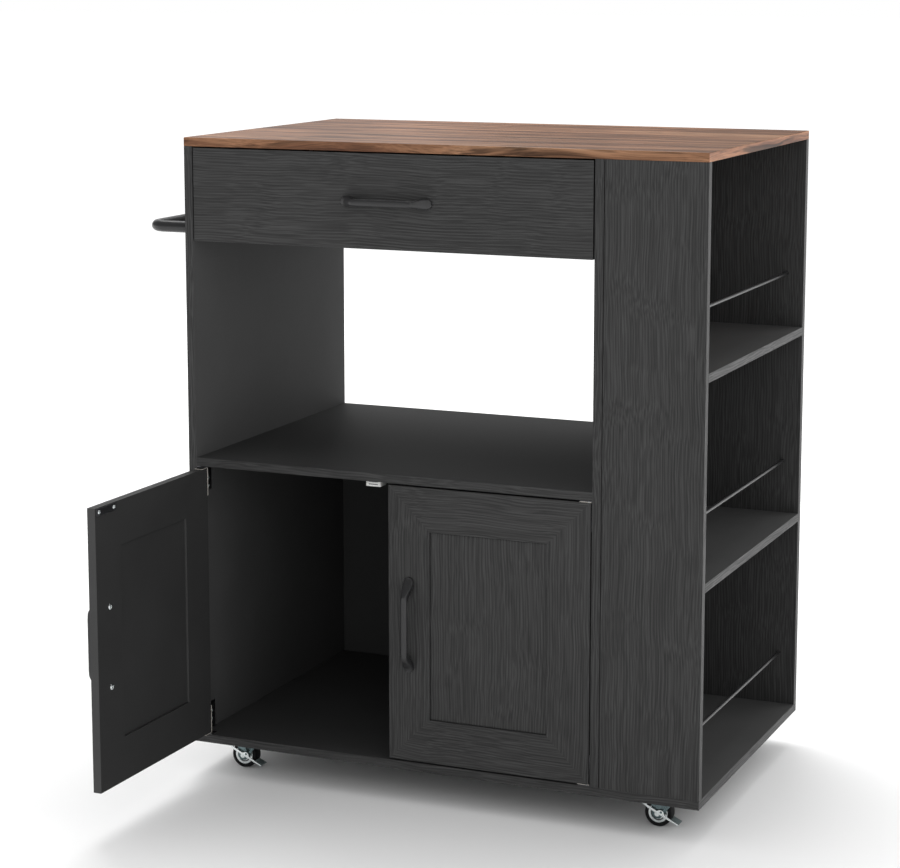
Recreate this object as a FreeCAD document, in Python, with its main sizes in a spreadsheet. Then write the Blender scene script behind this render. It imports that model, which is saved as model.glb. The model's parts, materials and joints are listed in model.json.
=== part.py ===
import FreeCAD, Part
import os
import re
import Sketcher

# Kitchen island cart on four swivel casters.
# Frame: X to the right along the front, Y to the back, Z up; millimetres.
# Pieces are drawn from the cabinet's front left floor corner and then shifted by origin_x and
# origin_y, so that the origin is the bottom centre of the cart with its left door open.

Vector = FreeCAD.Vector
doc = FreeCAD.newDocument("IslandCart")

# ---------------------------------------------------------------------------------------------
# Driving dimensions
# ---------------------------------------------------------------------------------------------

DIMENSIONS = (
    ("cart_width", 745, "cabinet, side to side"),
    ("cart_depth", 475, "cabinet, front to back"),
    ("cart_height", 900, "floor to the worktop's surface"),
    ("caster_height", 48, "floor to the bottom board"),
    ("board", 12, "thickness of every panel, shelf and door"),
    ("edge_ease", 0.6, "easing of the worktop's upper edges"),
    ("divider_left", 594.5, "left outer face to the divider's left face"),
    ("middle_top", 457, "upper face of the middle shelf"),
    ("upper_shelf_top", 620, "upper face of the upper side shelf"),
    ("lower_shelf_top", 347, "upper face of the lower side shelf"),
    ("cupboard_back_thickness", 9, "back of the cupboard"),
    ("rail_bottom", 768, "lower edge of the rail behind the drawer"),
    ("origin_x", 329.5, "cabinet corner to the origin"),
    ("origin_y", 95.6, "cabinet corner to the origin"),
    ("side_gap", 2, "gap beside a door or the drawer front"),
    ("middle_gap", 2, "gap between the doors"),
    ("end_gap", 2.4, "gap above and below a door"),
    ("door_frame", 60, "width of a door's stiles and rails"),
    ("recess_depth", 2.5, "depth of a door's panel below its frame"),
    ("pivot_inset", 2.5, "hinge axis to the door's edge and to its face"),
    ("open_angle", 91, "left door, open"),
    ("plate", 1, "sheet metal of hinges and strike plates"),
    ("leaf", 0.8, "sheet metal of the door's hinge leaf"),
    ("hinge_height", 39, "height of a hinge plate"),
    ("hinge_depth", 27, "depth of a hinge plate behind the door"),
    ("hinge_play", 0.3, "gap between the two halves of a hinge"),
    ("leaf_setback", 3.5, "door's face to the door's hinge leaf"),
    ("leaf_screw", 12, "door's end to the first screw of a hinge leaf"),
    ("leaf_screw_pitch", 16, "between the screws of a hinge leaf"),
    ("tab_reach", 12, "hinge axis to the end of a hinge's tab"),
    ("pin_reach", 3, "depth of a hinge pin in the door"),
    ("pin_radius", 1.5, "hinge pin"),
    ("fit", 0.08, "running clearance of a pin in its hole"),
    ("strike_inset", 26.3, "free edge to the middle of the strike plate"),
    ("strike_pitch", 36, "between the screws of a strike plate"),
    ("strike_drop", 6, "door's top edge to the strike plate's screws"),
    ("strike_length", 46, "strike plate"),
    ("strike_height", 10, "strike plate"),
    ("catch_width", 21.5, "magnetic catch"),
    ("catch_depth", 20, "magnetic catch"),
    ("catch_drop", 9.5, "height of the magnetic catch"),
    ("catch_screw", 14, "front of the magnetic catch to its screw"),
    ("handle_pitch", 108, "between the screws of a handle"),
    ("handle_length", 132, "handle, end to end"),
    ("handle_reach", 18, "door face to the middle of the grip"),
    ("handle_bend", 9, "bend radius of a handle"),
    ("grip_width", 10, "width of the grip"),
    ("grip_thickness", 6, "thickness of the grip"),
    ("foot_radius", 7, "foot of a handle"),
    ("foot_height", 3, "foot of a handle"),
    ("handle_inset", 30.5, "free edge to the handle"),
    ("drawer_handle_height", 822, "floor to the drawer's handle"),
    ("drawer_front_bottom", 759, "lower edge of the drawer front"),
    ("drawer_top_gap", 2, "gap above the drawer front"),
    ("drawer_lip", 9, "lower edge of the drawer front to the drawer's sides"),
    ("drawer_rebate", 8, "lower edge of the drawer's sides to its bottom"),
    ("drawer_depth", 400, "length of the drawer's sides"),
    ("drawer_side_height", 90, "height of the drawer's sides"),
    ("drawer_floor", 3, "thickness of the drawer's bottom"),
    ("groove", 5, "depth of the groove that holds the drawer's bottom"),
    ("runner_gap", 12.7, "width of a drawer runner"),
    ("runner_length", 350, "length of a drawer runner"),
    ("runner_start", 20, "front of the cabinet to the runner"),
    ("runner_height", 812, "floor to the middle of the runner"),
    ("sheet", 1.2, "sheet metal of the runners"),
    ("runner_half", 17.5, "half the height of the cabinet's runner"),
    ("runner_flange", 9.5, "depth of the cabinet's runner"),
    ("slider_half", 12, "half the height of the drawer's runner"),
    ("slider_flange", 4.6, "panel to the edge of the drawer runner's flange"),
    ("cage_half", 14.55, "half the height of a ball cage"),
    ("cage_near", 2.2, "panel to the ball cage"),
    ("cage_far", 3, "panel to the inner face of the ball cage's web"),
    ("cage_flange", 8.6, "panel to the edge of the ball cage's flange"),
    ("ball_radius", 1.9, "ball of a runner"),
    ("ball_reach", 6.6, "panel to the balls"),
    ("ball_track", 14.15, "middle of the runner to a row of balls"),
    ("ball_pitch", 14, "between balls"),
    ("ball_start", 8, "cage's end to the first ball"),
    ("cage_length", 86, "length of a runner's ball cage"),
    ("cage_start", 152, "front of the cabinet to the ball cage"),
    ("rod_radius", 2.5, "guard rod"),
    ("rod_inset", 25, "open side to a guard rod"),
    ("rod_rise", 76, "shelf to the guard rod above it"),
    ("rod_socket", 8, "depth of a guard rod's hole"),
    ("bar_radius", 8, "towel bar tube"),
    ("bar_reach", 78, "side panel to the middle of the towel bar"),
    ("bar_bend", 20, "bend radius of the towel bar"),
    ("bar_start", 46, "front of the cabinet to the towel bar's leg"),
    ("bar_height", 772, "floor to the towel bar"),
    ("dowel_radius", 3, "wooden dowel"),
    ("dowel_length", 20, "wooden dowel"),
    ("dowel_inset", 60, "cabinet's front or back to a dowel"),
    ("rail_dowel_inset", 30, "rail's edge to a dowel"),
    ("side_dowel_inset", 25, "drawer side's edge to a dowel"),
    ("cam_radius", 7.5, "cam lock"),
    ("cam_depth", 9, "cam lock"),
    ("cam_reach", 24, "board's end to the middle of the cam lock"),
    ("cam_inset", 110, "cabinet's front or back to a cam lock"),
    ("cam_bolt_radius", 2.5, "bolt of a cam lock"),
    ("cam_bolt_root", 7.5, "depth of a cam lock's bolt in the face board"),
    ("hole_play", 0.1, "play round a fastener"),
    ("shank_radius", 1.5, "short screw"),
    ("screw_length", 9.5, "short screw"),
    ("bolt_radius", 2, "screw of a handle or of the towel bar"),
    ("bolt_length", 15.5, "screw of a handle or of the towel bar"),
    ("bolt_bite", 4, "depth of the screw hole in a handle or the towel bar"),
    ("long_radius", 2.4, "long screw through the bottom board"),
    ("long_length", 44, "long screw"),
    ("long_head", 4.5, "radius of the long screw's head"),
    ("long_sink", 2.6, "depth of the long screw's head in the bottom board"),
    ("long_inset", 150, "cabinet's front or back to a long screw"),
    ("wheel_radius", 19, "caster wheel"),
    ("wheel_width", 17, "caster wheel"),
    ("tyre_round", 1.5, "bevel on a tyre's edges"),
    ("hub_radius", 13.5, "metal hub of the caster wheel"),
    ("hub_setback", 0.4, "hub's rim behind the tyre's face"),
    ("hub_dish", 2, "hollow between the hub's boss and its rim"),
    ("hub_boss", 1.2, "boss of the hub in front of its rim"),
    ("caster_inset", 62.5, "cabinet's side to a caster's king pin"),
    ("caster_setback", 58, "cabinet's front or back to a caster's king pin"),
    ("trail", 9, "king pin to the wheel's axle"),
    ("king_radius", 3, "king pin"),
    ("axle_radius", 2.5, "wheel's axle"),
    ("fork_sheet", 1.5, "sheet metal of the fork"),
    ("fork_inside", 20, "between the fork's cheeks"),
    ("fork_gap", 4, "mounting plate to the fork's top, across the ball race"),
    ("mount_plate", 1.6, "caster's mounting plate"),
    ("mount_length", 46, "caster's mounting plate"),
    ("mount_width", 38, "caster's mounting plate"),
    ("mount_screw_span", 36, "between the plate's screws, side to side"),
    ("mount_screw_pitch", 27, "between the plate's screws, front to back"),
    ("race_radius", 11, "ball race above the fork"),
    ("race_play", 0.2, "gap between the ball race and the fork"),
    ("king_head_radius", 5, "lower head of the king pin"),
    ("king_head", 1.4, "lower head of the king pin"),
    ("fork_top_radius", 14, "round top of the fork"),
    ("axle_head_radius", 3.5, "axle's heads"),
    ("axle_head", 1.1, "axle's heads"),
    ("brake_pin", 1.5, "pins that the brake lever turns on"),
    ("brake_angle", 25, "slope of the brake lever"),
    ("brake_u", 4, "brake pivot, along the lever from the axle"),
    ("brake_w", 5.5, "brake pivot, above the lever's axis"),
    ("brake_width", 28.4, "outside width of the brake lever"),
    ("brake_sheet", 1.2, "sheet metal of the brake lever"),
    ("pedal_width", 17, "width of the pedal, from the arm's outer side"),
    ("far_arm", 12, "reach of the arm that ends without the pedal, past the axle"),
)

sheet = doc.addObject("Spreadsheet::Sheet", "Dims")
for row, (alias, size, note) in enumerate(DIMENSIONS, start=1):
    sheet.set(f"A{row}", str(size))
    sheet.set(f"B{row}", note)
    sheet.setAlias(f"A{row}", alias)
doc.recompute()

ALIASES = {alias for alias, size, note in DIMENSIONS}

# Levels and widths that several pieces share, as formulas of the driving dimensions.
FLOOR = "(caster_height + board)"
TOP = "(cart_height - board)"
BAY_LEFT = "(divider_left + board)"
BAY_WIDTH = "(cart_width - divider_left - board)"
OPENING = "(divider_left - board)"
MIDDLE_UNDERSIDE = "(middle_top - board)"
DOOR_WIDTH = f"(({OPENING} - 2 * side_gap - middle_gap) / 2)"
DOOR_HEIGHT = f"({MIDDLE_UNDERSIDE} - {FLOOR} - 2 * end_gap)"
DRAWER_LEFT = "(board + runner_gap)"
DRAWER_RIGHT = "(divider_left - runner_gap)"
DRAWER_SILL = "(drawer_front_bottom + drawer_lip)"
DRAWER_BASE = f"({DRAWER_SILL} + drawer_rebate)"
DRAWER_BACK = "(board + drawer_depth)"
BAR_SPAN = "(cart_depth - 2 * bar_start)"


# ---------------------------------------------------------------------------------------------
# Helpers
# ---------------------------------------------------------------------------------------------

def cells(formula):
    """The formula with every dimension's name turned into its cell."""
    return re.sub(r"[a-z_]+", lambda word: "Dims." + word.group() if word.group() in ALIASES
                  else word.group(), str(formula))


def value(formula):
    """The formula's present value in millimetres or degrees."""
    return float(sheet.evalExpression(cells(formula)))


def bind(thing, **formulas):
    """Bind the properties of a document object to formulas of the sheet."""
    for name, formula in formulas.items():
        thing.setExpression(name, cells(formula))
    return thing


def at(thing, x=0, y=0, z=0):
    """Bind a document object's position to formulas of the sheet."""
    for letter, formula in zip("xyz", (x, y, z)):
        thing.setExpression(f"Placement.Base.{letter}", cells(formula))
    return thing


def box(name, x, y, z, length, width, height):
    """A box from its lowest corner and its three sides."""
    solid = doc.addObject("Part::Box", name)
    bind(solid, Length=length, Width=width, Height=height)
    return at(solid, x, y, z)


TURN_TO = {
    "+X": FreeCAD.Rotation(Vector(0, 1, 0), 90),
    "-X": FreeCAD.Rotation(Vector(0, 1, 0), -90),
    "+Y": FreeCAD.Rotation(Vector(1, 0, 0), -90),
    "-Y": FreeCAD.Rotation(Vector(1, 0, 0), 90),
    "+Z": FreeCAD.Rotation(),
    "-Z": FreeCAD.Rotation(Vector(1, 0, 0), 180),
}


def round_bar(name, x, y, z, direction, radius, length):
    """A cylinder that starts at a point and runs in a direction."""
    solid = doc.addObject("Part::Cylinder", name)
    solid.Placement.Rotation = TURN_TO[direction]
    bind(solid, Radius=radius, Height=length)
    return at(solid, x, y, z)


def fuse(name, pieces):
    """One solid from pieces that touch."""
    whole = doc.addObject("Part::MultiFuse", name)
    whole.Shapes = pieces
    return whole


def group(name, pieces):
    """Separate solids kept as one object."""
    whole = doc.addObject("Part::Compound", name)
    whole.Links = pieces
    return whole


def cut(name, base, tools):
    """A piece with every tool taken out of it."""
    whole = doc.addObject("Part::Cut", name)
    whole.Base = base
    whole.Tool = tools[0] if len(tools) == 1 else fuse(name + "_tools", tools)
    return whole


def copies(name, master, places):
    """Copies of a master, each from its point and the direction that its +Z takes."""
    links = []
    for x, y, z, direction in places:
        link = doc.addObject("App::Link", name + "_copy")
        link.LinkedObject = master
        link.Placement.Rotation = TURN_TO[direction]
        links.append(at(link, x, y, z))
    return group(name, links)


subparts = {}


def subpart(label, thing, x=0, y=0, z=0, rotation=None):
    """Name a finished sub-part and move it from its drawing frame to the cart's frame."""
    thing.Label = label
    if rotation is not None:
        thing.Placement.Rotation = rotation
    at(thing, f"{x} - origin_x", f"{y} - origin_y", z)
    subparts[label] = thing
    return thing


def new_body(name):
    return doc.addObject("PartDesign::Body", name)


def new_sketch(body, role, offset=0):
    """A sketch on one of the body's own origin planes, moved along the plane's normal."""
    plane = next(feature for feature in body.Origin.OriginFeatures if feature.Role == role)
    sketch = body.newObject("Sketcher::SketchObject", body.Name + "_sketch")
    sketch.AttachmentSupport = (plane, [""])
    sketch.MapMode = "FlatFace"
    sketch.setExpression("AttachmentOffset.Base.z", cells(offset))
    return sketch


def hold(sketch, kind, geometry, point, formula):
    """Hold one coordinate of a sketch's point at a formula's value."""
    index = sketch.addConstraint(Sketcher.Constraint(kind, -1, 1, geometry, point, value(formula)))
    sketch.setExpression(f"Constraints[{index}]", cells(formula))


def outline(sketch, corners):
    """A closed outline of straight sides, every corner held by two formulas."""
    points = [Vector(value(x), value(y), 0) for x, y in corners]
    first = sketch.GeometryCount
    count = len(points)
    for index in range(count):
        sketch.addGeometry(Part.LineSegment(points[index], points[(index + 1) % count]))
    for index, (x, y) in enumerate(corners):
        side = first + index
        following = first + (index + 1) % count
        sketch.addConstraint(Sketcher.Constraint("Coincident", side, 2, following, 1))
        hold(sketch, "DistanceX", side, 1, x)
        hold(sketch, "DistanceY", side, 1, y)
    return sketch


def rectangle(sketch, left, low, right, high):
    return outline(sketch, ((left, low), (right, low), (right, high), (left, high)))


def circle(sketch, x, y, radius):
    """A circle held by its centre and radius."""
    centre = Vector(value(x), value(y), 0)
    index = sketch.addGeometry(Part.Circle(centre, Vector(0, 0, 1), value(radius)))
    hold(sketch, "DistanceX", index, 3, x)
    hold(sketch, "DistanceY", index, 3, y)
    size = sketch.addConstraint(Sketcher.Constraint("Radius", index, value(radius)))
    sketch.setExpression(f"Constraints[{size}]", cells(radius))
    return sketch


def pad(body, sketch, length, side="One side"):
    feature = body.newObject("PartDesign::Pad", body.Name + "_pad")
    feature.Profile = sketch
    feature.SideType = side
    return bind(feature, Length=length)


def pocket(body, sketch, length=None, inward=False, side="One side"):
    """A pocket of a given depth, or through everything; inward runs along the sketch's normal."""
    feature = body.newObject("PartDesign::Pocket", body.Name + "_pocket")
    feature.Profile = sketch
    feature.SideType = side
    feature.Reversed = inward
    if length is None:
        feature.Type = "ThroughAll"
    else:
        bind(feature, Length=length)
    return feature


def turned(body, corners):
    """A turned piece from its half section: distance from the axis, and place along it (Y)."""
    sketch = outline(new_sketch(body, "XY_Plane"), corners)
    feature = body.newObject("PartDesign::Revolution", body.Name + "_turned")
    feature.Profile = sketch
    feature.ReferenceAxis = (sketch, ["V_Axis"])
    feature.Angle = 360
    return body


def bracket_path(body, role, offset, span, reach, bend):
    """A path out from a face, along it and back, with two round bends; starts at the origin."""
    sketch = new_sketch(body, role, offset)
    wide, tall, turn = value(span), value(reach), abs(value(bend))
    lean = 1 if tall > 0 else -1
    corner = tall - lean * turn
    sketch.addGeometry(Part.LineSegment(Vector(0, 0, 0), Vector(0, corner, 0)))
    sketch.addGeometry(Part.LineSegment(Vector(turn, tall, 0), Vector(wide - turn, tall, 0)))
    sketch.addGeometry(Part.LineSegment(Vector(wide, corner, 0), Vector(wide, 0, 0)))
    middle = turn * (1 - 0.5 ** 0.5)
    sketch.addGeometry(Part.Arc(Vector(0, corner, 0), Vector(middle, tall - lean * middle, 0),
                                Vector(turn, tall, 0)))
    sketch.addGeometry(Part.Arc(Vector(wide - turn, tall, 0),
                                Vector(wide - middle, tall - lean * middle, 0),
                                Vector(wide, corner, 0)))
    hold(sketch, "DistanceX", 0, 1, 0)
    hold(sketch, "DistanceY", 0, 1, 0)
    hold(sketch, "DistanceX", 0, 2, 0)
    hold(sketch, "DistanceY", 0, 2, f"{reach} - {lean} * {bend}")
    hold(sketch, "DistanceX", 1, 1, bend)
    hold(sketch, "DistanceY", 1, 1, reach)
    hold(sketch, "DistanceX", 1, 2, f"{span} - {bend}")
    hold(sketch, "DistanceY", 1, 2, reach)
    hold(sketch, "DistanceX", 2, 1, span)
    hold(sketch, "DistanceY", 2, 1, f"{reach} - {lean} * {bend}")
    hold(sketch, "DistanceX", 2, 2, span)
    hold(sketch, "DistanceY", 2, 2, 0)
    return sketch


def pipe(body, section, path):
    """A section carried along a path."""
    feature = body.newObject("PartDesign::AdditivePipe", body.Name + "_pipe")
    feature.Profile = section
    feature.Spine = (path, ["Edge1", "Edge2", "Edge3", "Edge4", "Edge5"])
    return feature


# ---------------------------------------------------------------------------------------------
# Fasteners: masters, and the holes that they need
# ---------------------------------------------------------------------------------------------

def screw_master(name, head_radius, head_height, shank_radius, shank_length):
    """A pan-head screw: head above the origin, shank below it, axis +Z."""
    head = round_bar(name + "_head", 0, 0, 0, "+Z", head_radius, head_height)
    shank = round_bar(name + "_shank", 0, 0, 0, "-Z", shank_radius, shank_length)
    return fuse(name, (head, shank))


wood_screw = screw_master("wood_screw", 2.8, 1.3, "shank_radius", "screw_length")
flat_screw = screw_master("flat_screw", 2.8, 0.6, "shank_radius", "screw_length")
handle_screw = screw_master("handle_screw", 4, 2.2, "bolt_radius", "bolt_length")
assembly_screw = screw_master("assembly_screw", "long_head", 2.4, "long_radius", "long_length")

holes = {}


def drill(labels, x, y, z, direction, radius, length):
    """Note a round hole that the named sub-parts get."""
    tool = round_bar("hole", x, y, z, direction, f"{radius} + hole_play", length)
    for label in labels:
        holes.setdefault(label, []).append(tool)


OPPOSITE = {"+X": "-X", "-X": "+X", "+Y": "-Y", "-Y": "+Y", "+Z": "-Z", "-Z": "+Z"}


def drill_for_screws(labels, places, radius="shank_radius",
                     length="screw_length + 3 * hole_play"):
    """Holes for screws whose heads face the given directions."""
    for x, y, z, direction in places:
        drill(labels, x, y, z, OPPOSITE[direction], radius, length)


dowel_places = []


def dowel(labels, x, y, z, direction, places=dowel_places):
    """A dowel across a butt joint: two fifths in the face board, three fifths in the end."""
    step = {"X": (1, 0, 0), "Y": (0, 1, 0), "Z": (0, 0, 1)}[direction[1]]
    sign = 1 if direction[0] == "+" else -1
    start = [f"{base} - {sign * part} * 0.4 * dowel_length" for base, part in zip((x, y, z), step)]
    entry = [f"{base} - {sign * part} * 2 * hole_play" for base, part in zip(start, step)]
    places.append((*start, direction))
    drill(labels, *entry, direction, "dowel_radius", "dowel_length + 4 * hole_play")


cam_pieces = []


def cam_lock(face_label, end_label, x, y, z, direction, facing):
    """A cam lock in a board's end, its bolt run into the face board behind the joint.

    x, y, z is the joint's point in the middle of the end board's thickness, direction points
    into the end board, and facing is the side that the cam shows.
    """
    axis = {"X": 0, "Y": 1, "Z": 2}
    sign = 1 if direction[0] == "+" else -1
    up = 1 if facing[0] == "+" else -1
    point = [x, y, z]
    run, side = axis[direction[1]], axis[facing[1]]
    root = list(point)
    root[run] = f"{point[run]} - {sign} * cam_bolt_root"
    entry = list(point)
    entry[run] = f"{point[run]} - {sign} * (cam_bolt_root + 2 * hole_play)"
    seat = list(point)
    seat[run] = f"{point[run]} + {sign} * cam_reach"
    seat[side] = f"{seat[side]} + {up} * board / 2"
    inward = OPPOSITE[facing]
    bolt_length = "cam_reach + cam_radius / 2"
    bolt = round_bar("cam_bolt", *root, direction, "cam_bolt_radius", bolt_length)
    disc = round_bar("cam_disc", *seat, inward, "cam_radius", "cam_depth")
    cam_pieces.append(fuse("cam", (bolt, disc)))
    drill((face_label, end_label), *entry, direction, "cam_bolt_radius", bolt_length)
    drill((end_label,), *seat, inward, "cam_radius", "cam_depth + hole_play")


# ---------------------------------------------------------------------------------------------
# Cabinet
# ---------------------------------------------------------------------------------------------

PANEL_HEIGHT = f"({TOP} - {FLOOR})"
BOARDS = {
    "bottom_board": (0, 0, "caster_height", "cart_width", "cart_depth", "board"),
    "left_panel": (0, 0, FLOOR, "board", "cart_depth", PANEL_HEIGHT),
    "divider_panel": ("divider_left", 0, FLOOR, "board", "cart_depth", PANEL_HEIGHT),
    "front_panel": (BAY_LEFT, 0, FLOOR, BAY_WIDTH, "board", PANEL_HEIGHT),
    "rear_panel": (BAY_LEFT, "cart_depth - board", FLOOR, BAY_WIDTH, "board", PANEL_HEIGHT),
    "upper_side_shelf": (BAY_LEFT, "board", "upper_shelf_top - board", BAY_WIDTH,
                         "cart_depth - 2 * board", "board"),
    "lower_side_shelf": (BAY_LEFT, "board", "lower_shelf_top - board", BAY_WIDTH,
                         "cart_depth - 2 * board", "board"),
    "middle_shelf": ("board", 0, MIDDLE_UNDERSIDE, OPENING, "cart_depth", "board"),
    "cupboard_back": ("board", "cart_depth - cupboard_back_thickness", FLOOR, OPENING,
                      "cupboard_back_thickness", f"{MIDDLE_UNDERSIDE} - {FLOOR}"),
    "rear_rail": ("board", "cart_depth - board", "rail_bottom", OPENING, "board",
                  f"{TOP} - rail_bottom"),
}
blanks = {label: box(label + "_blank", *sides) for label, sides in BOARDS.items()}

# The worktop is one board with its upper edges eased.
worktop_body = new_body("worktop_blank")
worktop_plan = new_sketch(worktop_body, "XY_Plane", TOP)
slab_pad = pad(worktop_body, rectangle(worktop_plan, 0, 0, "cart_width", "cart_depth"), "board")
doc.recompute()
upper_edges = [f"Edge{number}" for number, edge in enumerate(slab_pad.Shape.Edges, start=1)
               if edge.BoundBox.ZMin > value("cart_height") - 0.01]
ease = worktop_body.newObject("PartDesign::Chamfer", "worktop_ease")
ease.Base = (slab_pad, upper_edges)
bind(ease, Size="edge_ease")
blanks["worktop"] = worktop_body

# Dowels stand in the bottom board and the worktop, and lie in the ends of the shelves.
BAY_THIRDS = [f"{BAY_LEFT} + {share} * {BAY_WIDTH}" for share in (0.25, 0.75)]
DEPTH_ENDS = ("dowel_inset", "cart_depth - dowel_inset")
panel_feet = [("left_panel", "board / 2", place) for place in DEPTH_ENDS]
panel_feet += [("divider_panel", "divider_left + board / 2", place) for place in DEPTH_ENDS]
panel_feet += [("front_panel", place, "board / 2") for place in BAY_THIRDS]
panel_feet += [("rear_panel", place, "cart_depth - board / 2") for place in BAY_THIRDS]
for label, x, y in panel_feet:
    dowel(("bottom_board", label), x, y, FLOOR, "+Z")
    dowel(("worktop", label), x, y, TOP, "-Z")
for place in DEPTH_ENDS:
    dowel(("left_panel", "middle_shelf"), "board", place, "middle_top - board / 2", "+X")
    dowel(("divider_panel", "middle_shelf"), "divider_left", place, "middle_top - board / 2",
          "-X")
SIDE_SHELVES = (("upper_side_shelf", "upper_shelf_top"), ("lower_side_shelf", "lower_shelf_top"))
for label, top in SIDE_SHELVES:
    for place in BAY_THIRDS:
        dowel(("front_panel", label), place, "board", f"{top} - board / 2", "+Y")
        dowel(("rear_panel", label), place, "cart_depth - board", f"{top} - board / 2", "-Y")
for height in ("rail_bottom + rail_dowel_inset", f"{TOP} - rail_dowel_inset"):
    dowel(("left_panel", "rear_rail"), "board", "cart_depth - board / 2", height, "+X")
    dowel(("divider_panel", "rear_rail"), "divider_left", "cart_depth - board / 2", height, "-X")

# Cam locks pull the shelves to the panels and the panels to the worktop, on hidden faces.
SHELF_AXIS = "middle_top - board / 2"
for place in ("cam_inset", "cart_depth - cam_inset"):
    cam_lock("left_panel", "middle_shelf", "board", place, SHELF_AXIS, "+X", "-Z")
    cam_lock("divider_panel", "middle_shelf", "divider_left", place, SHELF_AXIS, "-X", "-Z")
    cam_lock("worktop", "left_panel", "board / 2", place, TOP, "-Z", "+X")
    cam_lock("worktop", "divider_panel", "divider_left + board / 2", place, TOP, "-Z", "-X")
BAY_MIDDLE = f"{BAY_LEFT} + {BAY_WIDTH} / 2"
for label, top in SIDE_SHELVES:
    cam_lock("front_panel", label, BAY_MIDDLE, "board", f"{top} - board / 2", "+Y", "-Z")
    cam_lock("rear_panel", label, BAY_MIDDLE, "cart_depth - board", f"{top} - board / 2", "-Y",
             "-Z")

# Long screws come up through the bottom board into the panels.
LONG_ENDS = ("long_inset", "cart_depth - long_inset")
panel_screws = [("left_panel", "board / 2", place) for place in LONG_ENDS]
panel_screws += [("divider_panel", "divider_left + board / 2", place) for place in LONG_ENDS]
panel_screws += [("front_panel", BAY_MIDDLE, "board / 2"),
                 ("rear_panel", BAY_MIDDLE, "cart_depth - board / 2")]
SUNK = "caster_height + long_sink"
assembly_places = []
for label, x, y in panel_screws:
    assembly_places.append((x, y, SUNK, "-Z"))
    drill(("bottom_board", label), x, y, SUNK, "+Z", "long_radius",
          "long_length + 3 * hole_play")
    drill(("bottom_board",), x, y, "caster_height - 1", "+Z", "long_head", "long_sink + 1")

# Three guard rods lie across the side bay, their ends in blind holes of the two panels.
rods = []
ROD_X = "cart_width - rod_inset"
for level in (FLOOR, "lower_shelf_top", "upper_shelf_top"):
    height = f"{level} + rod_rise"
    rods.append(round_bar("rod", ROD_X, "board - rod_socket", height, "+Y", "rod_radius",
                          "cart_depth - 2 * board + 2 * rod_socket"))
    drill(("front_panel", "rear_panel"), ROD_X, "board - rod_socket - 2 * hole_play", height,
          "+Y", "rod_radius", "cart_depth - 2 * board + 2 * rod_socket + 4 * hole_play")
subpart("guard_rods", group("guard_rods", rods))

# Towel bar: one bent tube on the left panel, screwed from the inside.
towel_bar = new_body("towel_bar_tube")
bar_path = bracket_path(towel_bar, "XY_Plane", 0, BAR_SPAN, "bar_reach", "bar_bend")
bar_section = circle(new_sketch(towel_bar, "XZ_Plane"), 0, 0, "bar_radius")
pipe(towel_bar, bar_section, bar_path)
bar_place = FreeCAD.Rotation(Vector(0, 0, 1), 90)
bar_holes = []
bar_screw_places = []
for place in ("bar_start", "cart_depth - bar_start"):
    bar_screw_places.append(("board", place, "bar_height", "+X"))
    drill(("left_panel",), "-1", place, "bar_height", "+X", "bolt_radius", "board + 2")
for place in (0, BAR_SPAN):
    bar_holes.append(round_bar("bar_hole", place, -1, 0, "+Y", "bolt_radius + hole_play",
                               "bolt_bite + 1"))
subpart("towel_bar", cut("towel_bar_drilled", towel_bar, bar_holes), 0, "bar_start",
        "bar_height", bar_place)


# ---------------------------------------------------------------------------------------------
# Handles
# ---------------------------------------------------------------------------------------------

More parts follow.
